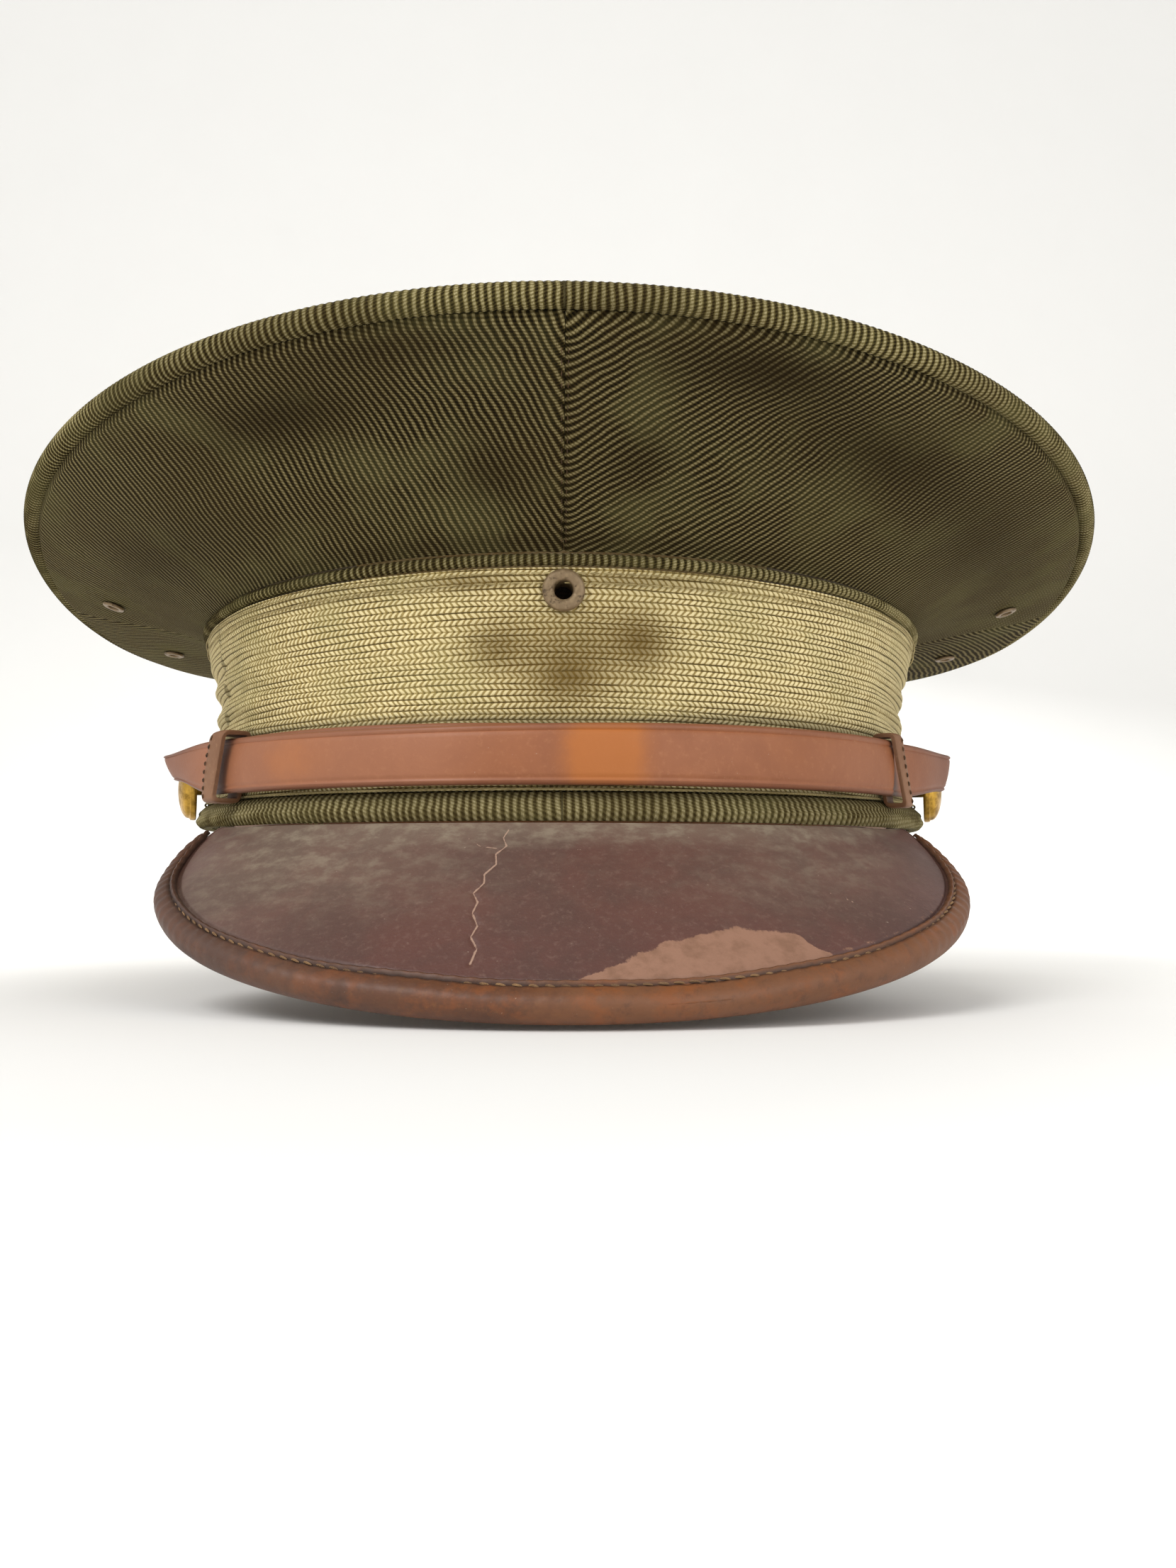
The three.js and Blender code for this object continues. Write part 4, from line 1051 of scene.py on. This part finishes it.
def band_ring(name, layer, z0, top, look, rests_on):
    """A sheet of the band, between its foot and top(u). Its columns are closer round the badge hole."""
    close = np.linspace(-0.08, 0.08, 25)
    us = np.concatenate([close, np.linspace(close[-1], 2 * math.pi - close[-1], 240)[1:-1]])
    share = np.linspace(0, 1, 60)
    z = z0 + (top(us)[:, None] - z0) * share[None, :]
    outline = np.concatenate([z, z[:, ::-1]], 1)
    d = np.repeat(layer[::-1], share.size)[None, :]
    points, faces = sweep(us, outline, d, band_point, ring=True)
    fields = {"cloth": points, "stain": np.zeros(len(points))}
    hole = None if name == "sweatband" else BADGE_HOLE
    piece = make(name, points, faces, look, fields=fields, hole=hole)
    cut(piece, z[:, -1].mean() - z0, girth(band_point, GIRTH_HEIGHT, layer[1]), rests_on)


band_ring("band_cloth", BAND_CLOTH, 0.4, lambda u: band_top(u) - GAP, "cloth", ["band_stiffener"])
band_ring("band_stiffener", STIFFENER, 0.4, lambda u: band_top(u) - 1, "board", ["band_lower_welt"])
band_ring("sweatband", SWEATBAND, 2.1, lambda u: 37 + 0 * u, "sweatband", ["sweatband_reed"])


def tube_round(name, p, q, radius, place, look):
    points, faces = sweep(turn(360), *bead(p, q, radius, sides=12), place, ring=True)
    make(name, points, faces, look)


tube_round("sweatband_reed", 0.9, -7.3, 0.9, band_point, "sweatband")
tube_round("crown_grommet_wire", *WIRE, 1.0, top_point, "steel")

# ---- Inside the crown ----


def wall_strip(name, us, t0, t1, rows, offset, thickness, look, ring=False):
    """A sheet that follows the crown's wall, offset(u) out from its face."""
    share = np.linspace(t0, t1, rows)
    p = np.concatenate([share, share[::-1]])[None, :]
    face = np.reshape(offset(us), (-1, 1))
    q = crown_relief(us[:, None], p) + face - thickness * (1 - outer_rows(rows, rows))
    points, faces = sweep(us, p, q, wall_point, ring)
    return make(name, points, faces, look)


def cut_wall(piece, us, t0, t1, rests_on):
    """Works out the size of a sheet of the crown's wall: a fan, cut to the wall's slope, and passes it
    to cut.
    """
    grid = wall_face(us[:, None], np.linspace(t0, t1, 9)[None, :])
    slope = np.linalg.norm(np.diff(grid, axis=1), axis=2).sum(1).mean()
    runs = np.linalg.norm(np.diff(grid, axis=0), axis=2).sum(0)
    cut(piece, slope, runs.max(), rests_on, slope * runs.mean())


FRONT_SPAN, STAY_SPAN = np.linspace(-0.907, 0.907, 90), np.linspace(-0.0577, 0.0577, 7)
AROUND_LINING = turn(220)
behind_quarters = lambda u: 0 * u - 1.8
behind_stiffener = lambda u: 0 * u - 3.1
behind_front = lambda u: -(2.7 + 2.5 * smooth(0.26, 0.53, np.cos(u)))
front = wall_strip("crown_front_stiffener", FRONT_SPAN, 0.04, 0.88, 16, behind_quarters, 0.9, "board")
cut_wall(front, FRONT_SPAN, 0.04, 0.88, ["crown_quarter_front_left", "crown_quarter_front_right"])
wall_strip("crown_front_stay", STAY_SPAN, 0.03, 0.86, 30, behind_stiffener, 1.2, "steel")
side_lining = wall_strip(
    "crown_lining_side", AROUND_LINING, 0.05, 0.52, 10, behind_front, 0.6, "lining", ring=True)
cut_wall(side_lining, AROUND_LINING, 0.05, 0.52, ["band_upper_welt", "crown_lining_top"])


def grommet_sleeve():
    """A split tube crimped over the wire's ends at the back."""
    angles = np.linspace(math.radians(25), math.radians(335), 24)
    circle = np.stack([np.cos(angles), np.sin(angles)], -1)
    p, q = np.concatenate([WIRE + 1.7 * circle, (WIRE + 1.3 * circle)[::-1]]).T
    points, faces = sweep(np.linspace(math.pi - 0.157, math.pi + 0.157, 12), p, q, top_point)
    make("crown_grommet_sleeve", points, faces, "brass")


grommet_sleeve()

# ---- The visor ----


def visor_columns(limit, count):
    """Values of u from one end to the other, closer together towards the ends."""
    return limit * np.sin(np.linspace(-math.pi / 2, math.pi / 2, count))


def polyline(x, y, line):
    """The distance in mm from a line drawn on the visor."""
    best = np.full(np.shape(x), 1e9)
    points = [(angle * ALONG_PER_DEGREE, share * DOWN_PER_SHARE) for angle, share in line]
    for (ax, ay), (bx, by) in zip(points[:-1], points[1:]):
        dx, dy = bx - ax, by - ay
        t = np.clip(((x - ax) * dx + (y - ay) * dy) / (dx * dx + dy * dy), 0, 1)
        best = np.minimum(best, np.hypot(x - ax - t * dx, y - ay - t * dy))
    return best


# The visor's marks: degrees round from the front, and the share of the way down the slope.
CRACK = [
    (-7.4, 0.04), (-7.9, 0.09), (-7.3, 0.14), (-8.4, 0.19), (-8.1, 0.25), (-9.2, 0.31), (-9.0, 0.36),
    (-9.9, 0.42), (-9.2, 0.47), (-9.5, 0.53), (-8.7, 0.60), (-9.1, 0.66), (-8.3, 0.72), (-8.6, 0.80),
]
CRACK_BRANCH = [(-12.2, 0.10), (-10.4, 0.15), (-8.4, 0.16)]
SCRATCH = [(29.5, 0.50), (30.6, 0.53), (31.8, 0.60)]
ALONG_PER_DEGREE, DOWN_PER_SHARE = 2.2, 45
# The worn patch's upper edge: the share of the way down, at angles round from the front.
WORN_ANGLES = [-1.5, 3, 9, 16, 22, 25.5]
WORN_SHARES = [1.0, 0.82, 0.69, 0.64, 0.70, 1.0]
# Greyer spots: dust, and painted sheen, strongest at the top-left. Each gives strength, degrees from
# the front, share of the way down and reaches.
VISOR_DUST_AND_SHEEN = [
    (0.75, -34, 0.25, 24, 0.3), (0.45, -44, 0.7, 14, 0.4), (0.5, 32, 0.3, 20, 0.3),
]
CRACK_SPAN = (-12.5, -7)
VISOR_COLUMNS = 420


def visor_leaf(name, layer, look, marked=False):
    """One layer of the visor. The marked one carries the wear, and closer columns at the crack."""
    us = visor_columns(VISOR_LEAF_ANGLE, VISOR_COLUMNS if marked else 140)
    if marked:
        us = np.sort(np.concatenate([us, np.radians(np.linspace(*CRACK_SPAN, 48))]))
    length = visor_length(us) - BINDING_THICKNESS - GAP
    share = np.linspace(0, 1, 170 if marked else 16)
    flange = np.linspace(-VISOR_FLANGE, -0.9, 5)[None, :] + 0 * us[:, None]
    s = np.concatenate([flange, length[:, None] * share], 1)
    folds = s[:, ::-1][:, :: max(1, s.shape[1] // 14)]
    p = np.concatenate([s, folds], 1)
    outer = outer_rows(s.shape[1], folds.shape[1])
    q = layer[0] + (layer[1] - layer[0]) * outer + 0 * p
    a = np.degrees(us)[:, None] + 0 * p
    share_down = p / length[:, None]
    fields = {}
    if marked:
        x, y = a * ALONG_PER_DEGREE, share_down * DOWN_PER_SHARE
        crack, branch, scratch = [polyline(x, y, line) for line in (CRACK, CRACK_BRANCH, SCRATCH)]
        edge = length[:, None] - p
        waves = 0.35 * np.sin(a / 9 + 1) * np.sin(share_down * 4) + 0.2 * np.sin(a / 3.7) * share_down
        groove = 0.25 * bell(crack, 0, 0.6) + 0.45 * bell(edge, BINDING_WIDTH - 0.9, 0.45)
        q = q + outer * (waves - groove)
        top_of_patch = np.interp(a, WORN_ANGLES, WORN_SHARES)
        wear = smooth(-0.08, 0.08, share_down - top_of_patch) * (top_of_patch < 0.999)
        wear = wear + 0.4 * bell(edge, BINDING_WIDTH, 1.2) * smooth(-30, 20, a)
        # Greyer in spots and along the root: dust, with painted sheen at the top-left.
        dust = spots(a, share_down, VISOR_DUST_AND_SHEEN) + 0.95 * smooth(0.2, 0.02, share_down)
        fields = {
            "scar": np.clip(np.min([crack, branch + 0.1, scratch + 0.06], axis=0), 0, 3),
            "wear": np.clip(wear, 0, 1),
            "dust": np.clip(dust, 0, 1),
        }
    points, faces = sweep(us, p, q, visor_point)
    make(name, points, faces, look, fields=fields)


visor_leaf("visor_top_leather", VISOR_TOP, "visor", marked=True)
visor_leaf("visor_core", VISOR_CORE, "board")
visor_leaf("visor_lining", VISOR_UNDER, "visor_under")

STITCH_RUN = 2.7
STITCH_HALF = 0.95


def binding():
    """The leather roll over the visor's edge."""
    us = visor_columns(VISOR_LEAF_ANGLE * 0.992, VISOR_COLUMNS)
    top, foot, skin = VISOR_TOP[1] + GAP, VISOR_UNDER[0] - GAP, BINDING_THICKNESS
    middle, half = (top + foot) / 2, (top - foot) / 2 + skin
    arc = np.linspace(math.pi / 2, -math.pi / 2, 14)
    edge = visor_length(us)
    width = np.minimum(BINDING_WIDTH, edge / 2)
    rows_p, rows_q = [], []
    for e, w in zip(edge, width):
        bend = min(2.4, w * 0.6)
        lip = np.array([0, 0.2, 0.6, 1.0, 1.35, 1.7, 2.2]) * min(1, w / BINDING_WIDTH)
        rise = np.array([0.1, 0.75, 1.05, 0.95, 0.45, 0.7, 0.95]) * skin
        out_p = np.concatenate([lip - w, -bend + bend * np.cos(arc), [-(w * 0.9 + bend) / 2, -w * 0.9]])
        out_q = np.concatenate([top + rise, middle + half * np.sin(arc), [foot - skin, foot - skin]])
        in_p = np.array([-w * 0.9, -bend, -skin, -skin, -bend, -w + 0.1])
        in_q = np.array([foot, foot, foot + 0.2, top - 0.2, top, top])
        rows_p.append(e + np.concatenate([out_p, in_p]))
        rows_q.append(np.concatenate([out_q, in_q]))
    p, q = np.array(rows_p), np.array(rows_q)
    run = run_along(visor_point(us, edge, 0 * us))
    along = run[:, None]
    pucker = 0.09 * np.sin(2 * math.pi * along / 3.1) + 0.22 * np.sin(along / 13)
    pucker = pucker + 0.18 * np.sin(along / 5.3 + 2)
    outer = outer_rows(out_p.size, in_p.size)
    # The stitches sink the lip, and the leather folds where the roll begins. Both grooves are painted
    # near black through "crease": painted shade.
    crease = np.zeros(outer.shape)
    crease[0, :7] = [1, 0.5, 0, 0.4, 1, 0.5, 0]
    q = q + pucker * outer * smooth(middle - 1, middle + 1, q)
    points, faces = sweep(us, p, q, visor_point)
    a = np.degrees(us)[:, None] + 0 * p
    fields = {
        "crease": crease + 0 * p,
        "wear": np.clip(smooth(-35, 25, a) * 0.8 + 0.25 * np.sin(a / 6) + 0.2, 0, 1),
        "dust": np.clip(smooth(-5, -40, a) + 0.35 * smooth(35, 55, a), 0, 1),
    }
    make("visor_binding", points, faces, "binding", fields=fields)
    # Its stitches, in the groove just outside its inner edge.
    reach = np.arange(6, run[-1] - 6, STITCH_RUN)

    def inner(shift):
        at = reach + shift
        down = np.interp(at, run, edge - width) + 1.3 + 0.15 * np.sign(shift)
        return visor_point(np.interp(at, run, us), down, 0 * at + top + skin * 0.55)

    u = np.interp(reach, run, us)
    down = np.interp(u, us, edge)
    ups = unit(visor_point(u, down, 0 * u + 1) - visor_point(u, down, 0 * u))
    points, faces = stitches(inner(-STITCH_HALF), inner(STITCH_HALF), ups, 0.21)
    make("visor_stitching", points, faces, "visor_thread", in_cad=False)


binding()

# ---- The chin strap, its keepers and its buttons ----

FRONT_ARC_CENTRE = np.array([0, -FRONT_CENTRE, 0])
# Each strap's fold at its button: how far the crease leans, how far its top corner droops and how
# far its lower corner rises.
EARS = {-1: (6.5, 2.4, 4.6), 1: (3.8, 1.5, 2.6)}
TAB_NARROWING = 0.55
TAB_START_ANGLE = math.radians(71.2)
# How many points of a strap's middle line lie on the front's arc, before it leaves the band.
ARC_POINTS = 150
STRAP_SHARES = np.array([
    0, 0.012, 0.035, 0.07, 0.1, 0.125, 0.15, 0.2, 0.35, 0.5,
    0.65, 0.8, 0.86, 0.885, 0.91, 0.94, 0.97, 0.99, 1,
])


def strap_plan(out, share_up, slant):
    """One strap's middle line, from the far keeper to the tab at its own button, for a height given
    as a share of its width. The crease leans, which draws the upper corner out to a point."""
    r = FRONT_ARC_RADIUS + out
    on_arc = lambda u: FRONT_ARC_CENTRE + oval_normal(u) * r
    leaving = on_arc(np.array([LEAVING_ANGLE]))[0]
    heading = LEAVING_ANGLE - STRAP_FLARE
    ahead = np.array([math.cos(heading), math.sin(heading), 0])
    crease = leaving + ahead * (STRAP_RUN + 0.6 - slant * (1 - share_up))
    beside = lambda a, d: oval_point(a) + oval_normal(a) * d
    arc = on_arc(np.linspace(-STRAP_END_ANGLE, LEAVING_ANGLE, ARC_POINTS))
    steps = np.linspace(0.12, 1, 16)[:, None]
    straight = leaving + steps * (crease - leaving)
    bow = 0.5 * np.sin(steps * math.pi) * np.array([math.sin(heading), -math.cos(heading), 0])
    button = beside(BUTTON_ANGLE, STRAP_AT_BUTTON)
    under = beside(TAB_START_ANGLE, STRAP_AT_BUTTON)
    turned_in = [crease + [0.45, 1.1, 0], crease + [0.35, 1.9, 0], crease + [-0.4, 2.8, 0]]
    back = [turned_in[-1] + (under - turned_in[-1]) * k for k in (0.3, 0.6, 0.85)]
    tab = [under, button, beside(TAB_ANGLE, STRAP_AT_BUTTON + 0.2)]
    return np.concatenate([arc, straight + bow, np.array(turned_in + back + tab)])


def strap(name, out, sign, warm):
    """A strap: a ribbon with beaded edges and a tooled line along each."""
    share = STRAP_SHARES
    edge = np.minimum(share, 1 - share) * STRAP_WIDTH
    half = STRAP_THICKNESS / 2 * np.sqrt(np.clip(edge / 0.45, 0.02, 1))
    groove = 0.1 * smooth(0.2, 0.7, edge) * smooth(1.2, 0.8, edge) - 0.22 * bell(edge, 1.25, 0.22)
    slant, droop, rise = EARS[sign]
    grids = []
    for s, g, h in zip(share, groove, half):
        plan = strap_plan(out, s, slant)
        along = unit(np.gradient(plan, axis=0))
        side = np.stack([along[:, 1], -along[:, 0], 0 * along[:, 0]], -1)
        past_arc = np.arange(len(plan)) - ARC_POINTS
        ear = smooth(-1, 16, past_arc) * smooth(28, 18, past_arc)
        lift = 0.5 * np.sin(run_along(plan) / 26) * s + ear * (rise * (1 - s) - droop * s)
        z = STRAP_FOOT + STRAP_WIDTH * s + lift * 0.8
        tab = smooth(17, 22, past_arc) * (1 - TAB_NARROWING)
        z = z + (BUTTON_HEIGHT + 1.2 - z) * tab
        line = plan + z[:, None] * Z
        cup = 0.35 * math.sin(math.pi * s)
        grids.append((line + side * (h + g + cup - 0.2), line + side * (-h + cup - 0.2)))
    face = np.stack([g[0] for g in grids], 1)
    back = np.stack([g[1] for g in grids], 1)[:, ::-1]
    grid = np.concatenate([face, back], 1)
    rows, count = grid.shape[:2]
    grid = grid * np.array([sign, 1, 1])
    first = np.arange(count)[None, :]
    faces = [wrapped(count, rows, False), first[:, ::-1], first + (rows - 1) * count]
    a = np.degrees(np.arctan2(grid[..., 0], -grid[..., 1] - 10))
    s = np.concatenate([share, share[::-1]])[None, :] + 0 * a
    rim = np.clip(smooth(0.13, 0.04, s) + smooth(0.88, 0.96, s), 0, 1)
    centre = spots(a, s, [(1.1, 4.5, 0.5, 4.5, 1.3), (0.55, -33, 0.5, 7, 0.6)])
    # The strap's end, round its fold at the button, is painted darker: painted shade where it turns in.
    end = smooth(0, 1, np.arange(rows)[:, None] / rows * 10 - 8.4)
    fields = {
        "warm": np.clip(centre * warm + 0.25 * smooth(14, 28, a) * spot(a, s, 25, 0.6, 8, 0.5), 0, 1),
        "pale": np.clip(smooth(-6, -16, a) * 0.8 + 0.5 * spot(a, s, 36, 0.5, 6, 0.5), 0, 1),
        "edge": np.clip(rim * 0.5 + 0.8 * end + 0.4 * smooth(0.03, 0, s), 0, 1),
    }
    make(name, grid.reshape(-1, 3), faces, "strap", "chin_strap", fields=fields, sharp=50)


strap("chin_strap_outer", OUTER_STRAP_OUT, -1, 1.0)
strap("chin_strap_inner", INNER_STRAP_OUT, 1, 0.4)


# Each keeper: how far it stands proud, how far it leans, its width, how low its foot hangs and how
# far its middle bows outwards.
KEEPERS = {-1: (1.5, 4.6, 6.2, 0.7, 1.6), 1: (0.3, 5.8, 4.0, 1.2, -0.6)}
KEEPER_STITCHES = 8
# A lathed profile starts and ends this close to its axis.
ON_AXIS = 0.001


def keeper(side, sign):
    """A leather loop round both straps. It stands proud of them and leans outwards at its foot."""
    proud, lean_by, breadth, low_foot, bow = KEEPERS[sign]
    low_d, high_d = INNER_STRAP_OUT - 0.85, OUTER_STRAP_OUT + 0.85 + proud
    foot, head = STRAP_FOOT - 0.3 - low_foot, STRAP_FOOT + STRAP_WIDTH + 0.5

    def outline(grown, radius):
        corners = [(low_d, foot), (high_d, foot), (high_d, head), (low_d, head)]
        away = [(-grown, -grown), (grown, -grown), (grown, grown), (-grown, grown)]
        return rounded(np.add(corners, away), radius, 5)

    inner, outer = outline(0, 0.6), outline(KEEPER_LEATHER, 1.4)
    across = np.array([-1, -0.97, -0.85, -0.5, 0, 0.5, 0.85, 0.97, 1]) * breadth / 2
    swell = np.array([-0.3, -0.1, 0.05, 0.12, 0.15, 0.12, 0.05, -0.1, -0.3])
    # The keeper's edges are darker, and its inner face round the straps is painted darker: painted
    # shade inside the loop.
    worn = [0.9, 0.6, 0.2, 0, 0, 0, 0.2, 0.6, 0.9] + [0.8] * across.size
    loop, ring_count = [], len(outer)

    def place(d, z, w):
        height = (z - foot) / (head - foot)
        lean = lean_by * (0.5 - height) + bow * 4 * height * (1 - height) * smooth(low_d, high_d, d)
        u = sign * (KEEPER_ANGLE + (w + lean) / (FRONT_ARC_RADIUS + OUTER_STRAP_OUT))
        return FRONT_ARC_CENTRE + oval_normal(u) * (FRONT_ARC_RADIUS + d)[..., None] + z[..., None] * Z

    middle = outer.mean(0)
    for w, s in zip(across, swell):
        ring = outer + unit(outer - middle) * s
        loop.append(place(ring[:, 0], ring[:, 1], np.full(ring_count, w)))
    for w in across[::-1]:
        loop.append(place(inner[:, 0], inner[:, 1], np.full(ring_count, w)))
    points = np.concatenate(loop)
    faces = [wrapped(ring_count, len(loop), True)]
    blank = np.zeros(len(points))
    body = "keeper_" + side
    fields = {"warm": blank + 0.15, "pale": blank + 0.6, "edge": np.repeat(worn, ring_count)}
    make("strap_keeper_" + side, points, faces, "keeper", body, fields=fields)
    rows = np.linspace(foot + 0.5, head - 0.5, KEEPER_STITCHES)
    far, aside = 0 * rows + high_d + KEEPER_LEATHER + 0.2, 0 * rows + breadth / 2 * 0.55
    starts, ends = place(far, rows - 0.45, aside), place(far, rows + 0.45, aside)
    points, faces = stitches(starts, ends, oval_normal(0 * rows + sign * KEEPER_ANGLE), 0.17)
    make("keeper_stitching_" + side, points, faces, "dark_thread", body, in_cad=False)


def button(side, sign):
    """A rimmed dome, its back with the shank, and the split ring on the shank's end. Each profile
    is a list of (radius, distance out)."""
    u = np.array(sign * BUTTON_ANGLE)
    at, along = oval_point(u) + BUTTON_HEIGHT * Z, oval_normal(u)
    r = BUTTON_RADIUS
    foot = STRAP_AT_BUTTON + STRAP_THICKNESS / 2 + 0.4
    under = foot + 1.15
    crown = under + 2.8
    quarter_turn = np.linspace(0, math.pi / 2, 12)[1:]
    rise = crown - under - 0.5
    dome = [(r * 0.93 * math.sin(k), under + 0.5 + rise * math.cos(k)) for k in quarter_turn]
    rim = [
        (r * 0.955, under + 0.15), (r * 0.985, under + 0.1), (r, foot + 0.75), (r, foot + 0.3),
        (r * 0.98, foot), (r - 0.7, foot), (r - 0.7, under - 0.1), (ON_AXIS, under - 0.1),
    ]
    deep = STIFFENER[0] - 1.25
    back = [
        (ON_AXIS, foot + 0.85), (r - 1.3, foot + 0.85), (r - 1.1, foot + 0.7), (r - 1.1, foot + 0.4),
        (r - 1.3, foot + 0.25), (1.9, foot + 0.25), (1.3, foot), (1.3, deep - 0.8), (1.1, deep - 1),
        (ON_AXIS, deep - 1),
    ]
    ring = np.stack(bead(2.3, deep - 0.4, 0.608, 0.38, sides=10), -1)
    for part, profile, look, steps, sharp in (
        ("shell", [(ON_AXIS, crown)] + dome + rim, "brass", 64, 60),
        ("back", back, "brass", 40, 40),
        ("split_ring", ring, "steel", 40, 40),
    ):
        points, faces = lathe(profile, at, along, steps)
        make(f"side_button_{part}_{side}", points, faces, look, "side_button_" + side, sharp=sharp)


for side, sign in (("left", -1), ("right", 1)):
    keeper(side, sign)
    button(side, sign)

# ---- Eyelets ----


def eyelet(name, at, along, hole, flange, thick, depth, barrel):
    """A rolled flange on a barrel, with a dished face."""
    mid, roll = (hole + flange) / 2, (flange - hole) / 2
    k = np.linspace(0, math.pi, 14)
    dome = [(mid - roll * math.cos(t), GAP + thick * (0.25 + 0.75 * math.sin(t) ** 0.8)) for t in k]
    under = [(flange, GAP), (barrel + 0.2, GAP), (barrel, 0), (barrel, -depth)]
    profile = [(hole, -depth), (hole, 0)] + dome + under
    points, faces = lathe(profile, at, along, 64)
    chips = 0.05 * np.sin(points[:, 0] * 5.1) * np.sin(points[:, 2] * 6.3 + 1)
    points = points + chips[:, None] * along
    make(name, points, faces, "paint", sharp=60)


def washer(name, at, along, r_in, r_out, low, high):
    w, h = (r_out - r_in) / 2, (high - low) / 2
    outline = rounded([(r_in, low), (r_out, low), (r_out, high), (r_in, high)], min(w, h) * 0.6, 3)
    points, faces = lathe(outline, at, along)
    make(name, points, faces, "brass")


badge_at = BADGE_HOLE[0]
eyelet("badge_eyelet", badge_at, -Y, 1.75, 3.95, 1.1, 6.1, 2.45)
washer("badge_eyelet_washer", badge_at, -Y, 2.75, 4.35, STIFFENER[0] - 1.85, STIFFENER[0] - 1.25)
# A near-black disc behind the badge hole, where the inside of the cap is in shade: painted shade, not a
# part of the cap.
shade_profile = [(0.01, -7.1), (3.6, -7.1), (3.6, -6.3), (0.01, -6.3)]
points, faces = lathe(shade_profile, badge_at, -Y)
make("badge_hole_shade_disc", points, faces, "hole_shade", in_cad=False)
for side, sign in (("left", -1), ("right", 1)):
    for end, (angle, t) in VENT_PLACES.items():
        u = np.array(sign * math.radians(angle))
        at, along = wall_face(u, np.array(t)), wall_normal(u, np.array(t))
        at = at + along * crown_relief(u, t)
        eyelet(f"vent_eyelet_{end}_{side}", at, along, 1.3, 2.6, 0.6, 2.4, 1.7)
        washer(f"vent_washer_{end}_{side}", at, along, 2.0, 2.6, -2.6, -2.1)

# ---- Seams ----


def seam(name, curve, ups, step, length, radius, look):
    """A row of machine stitches along a line of points."""
    run = run_along(curve)
    at = np.arange(step / 2, run[-1] - step / 2, step)
    pick = lambda k, grid: np.stack([np.interp(k, run, grid[:, i]) for i in range(3)], -1)
    starts, ends = pick(at - length / 2, curve), pick(at + length / 2, curve)
    points, faces = stitches(starts, ends, unit(pick(at, ups)), radius)
    make(name, points, faces, look, in_cad=False)


around = np.linspace(0, 2 * math.pi, 721)
for index, drop in enumerate((1.1, 2.9)):
    line = band_point(around, band_top(around) - GAP - drop, 0 * around + 0.28)
    seam(f"braid_stitching_{index + 1}", line, oval_normal(around), 2.3, 2.0, 0.16, "thread")
for side, sign in (("left", -1), ("right", 1)):
    ts = np.linspace(0.03, 0.93, 60)
    u = 0 * ts + sign * 0.4 / FRONT_ARC_RADIUS
    line = wall_point(u, ts, crown_relief(u, ts) - 0.25)
    ups = wall_normal(u, ts)
    seam("front_seam_stitching_" + side, line, ups, 2.2, 1.5, 0.1, "dark_thread")
points, faces = sweep(turn(720), *bead(5.45, 0.25, 0.22, sides=8), band_point, ring=True)
make("braid_edge_cord", points, faces, "thread", in_cad=False)
inside = band_point(around, 0 * around + 3.6, 0 * around - 7.9)
seam("sweatband_stitching", inside, -oval_normal(around), 3.0, 2.4, 0.2, "thread")

# ---- Floor and light ----

FLOOR_DROP = 0.5
FLOOR_HALF = 1600
BEND_RADIUS = 600


def stage():
    """A plain floor that curves up into a back wall."""
    low = cad_box[0][2] / MM - FLOOR_DROP
    bend = np.linspace(0.1, math.pi / 2, 16)
    depth = np.concatenate([np.linspace(-900, 900, 4), 900 + BEND_RADIUS * np.sin(bend), [1500]])
    rise = np.concatenate([[0] * 4, BEND_RADIUS - BEND_RADIUS * np.cos(bend), [2200]])
    sides = (-FLOOR_HALF, FLOOR_HALF)
    points = np.array([(x, y, low + z) for x in sides for y, z in zip(depth, rise)]) * MM
    n = len(depth)
    mesh = bpy.data.meshes.new("floor")
    mesh.from_pydata(points.tolist(), [], [(i, n + i, n + i + 1, i + 1) for i in range(n - 1)])
    mesh.shade_smooth()
    k = Look("floor_paper", specular_ior_level=0.1)
    mottled = k.noise(k.place(0.01), 1.0)
    mesh.materials.append(k.finish(k.mix(mottled, "f2f1ee", "f5f4f1"), 0.9))
    floor = bpy.data.objects.new("floor", mesh)
    bpy.context.scene.collection.objects.link(floor)


def area(name, at, target, size, power):
    data = bpy.data.lights.new(name, "AREA")
    data.shape = "DISK"
    data.size, data.energy = size, power
    light = bpy.data.objects.new(name, data)
    bpy.context.scene.collection.objects.link(light)
    light.location = at
    light.rotation_euler = (Vector(target) - Vector(at)).to_track_quat("-Z", "Y").to_euler()


stage()
area("key", (-0.75, -1.0, 1.05), (0, -0.05, 0.03), 0.9, 13)
area("fill", (0.9, -1.1, 0.45), (0, -0.05, 0.03), 1.0, 5)
area("rear", (0.2, 1.0, 0.8), (0, 0, 0.05), 1.0, 9)
world = bpy.data.worlds.new("world")
bpy.context.scene.world = world
world.use_nodes = True
sky = world.node_tree.nodes["Background"].inputs
sky[0].default_value = (1, 0.995, 0.985, 1)
sky[1].default_value = 0.75
bpy.context.scene.view_settings.view_transform = "Standard"
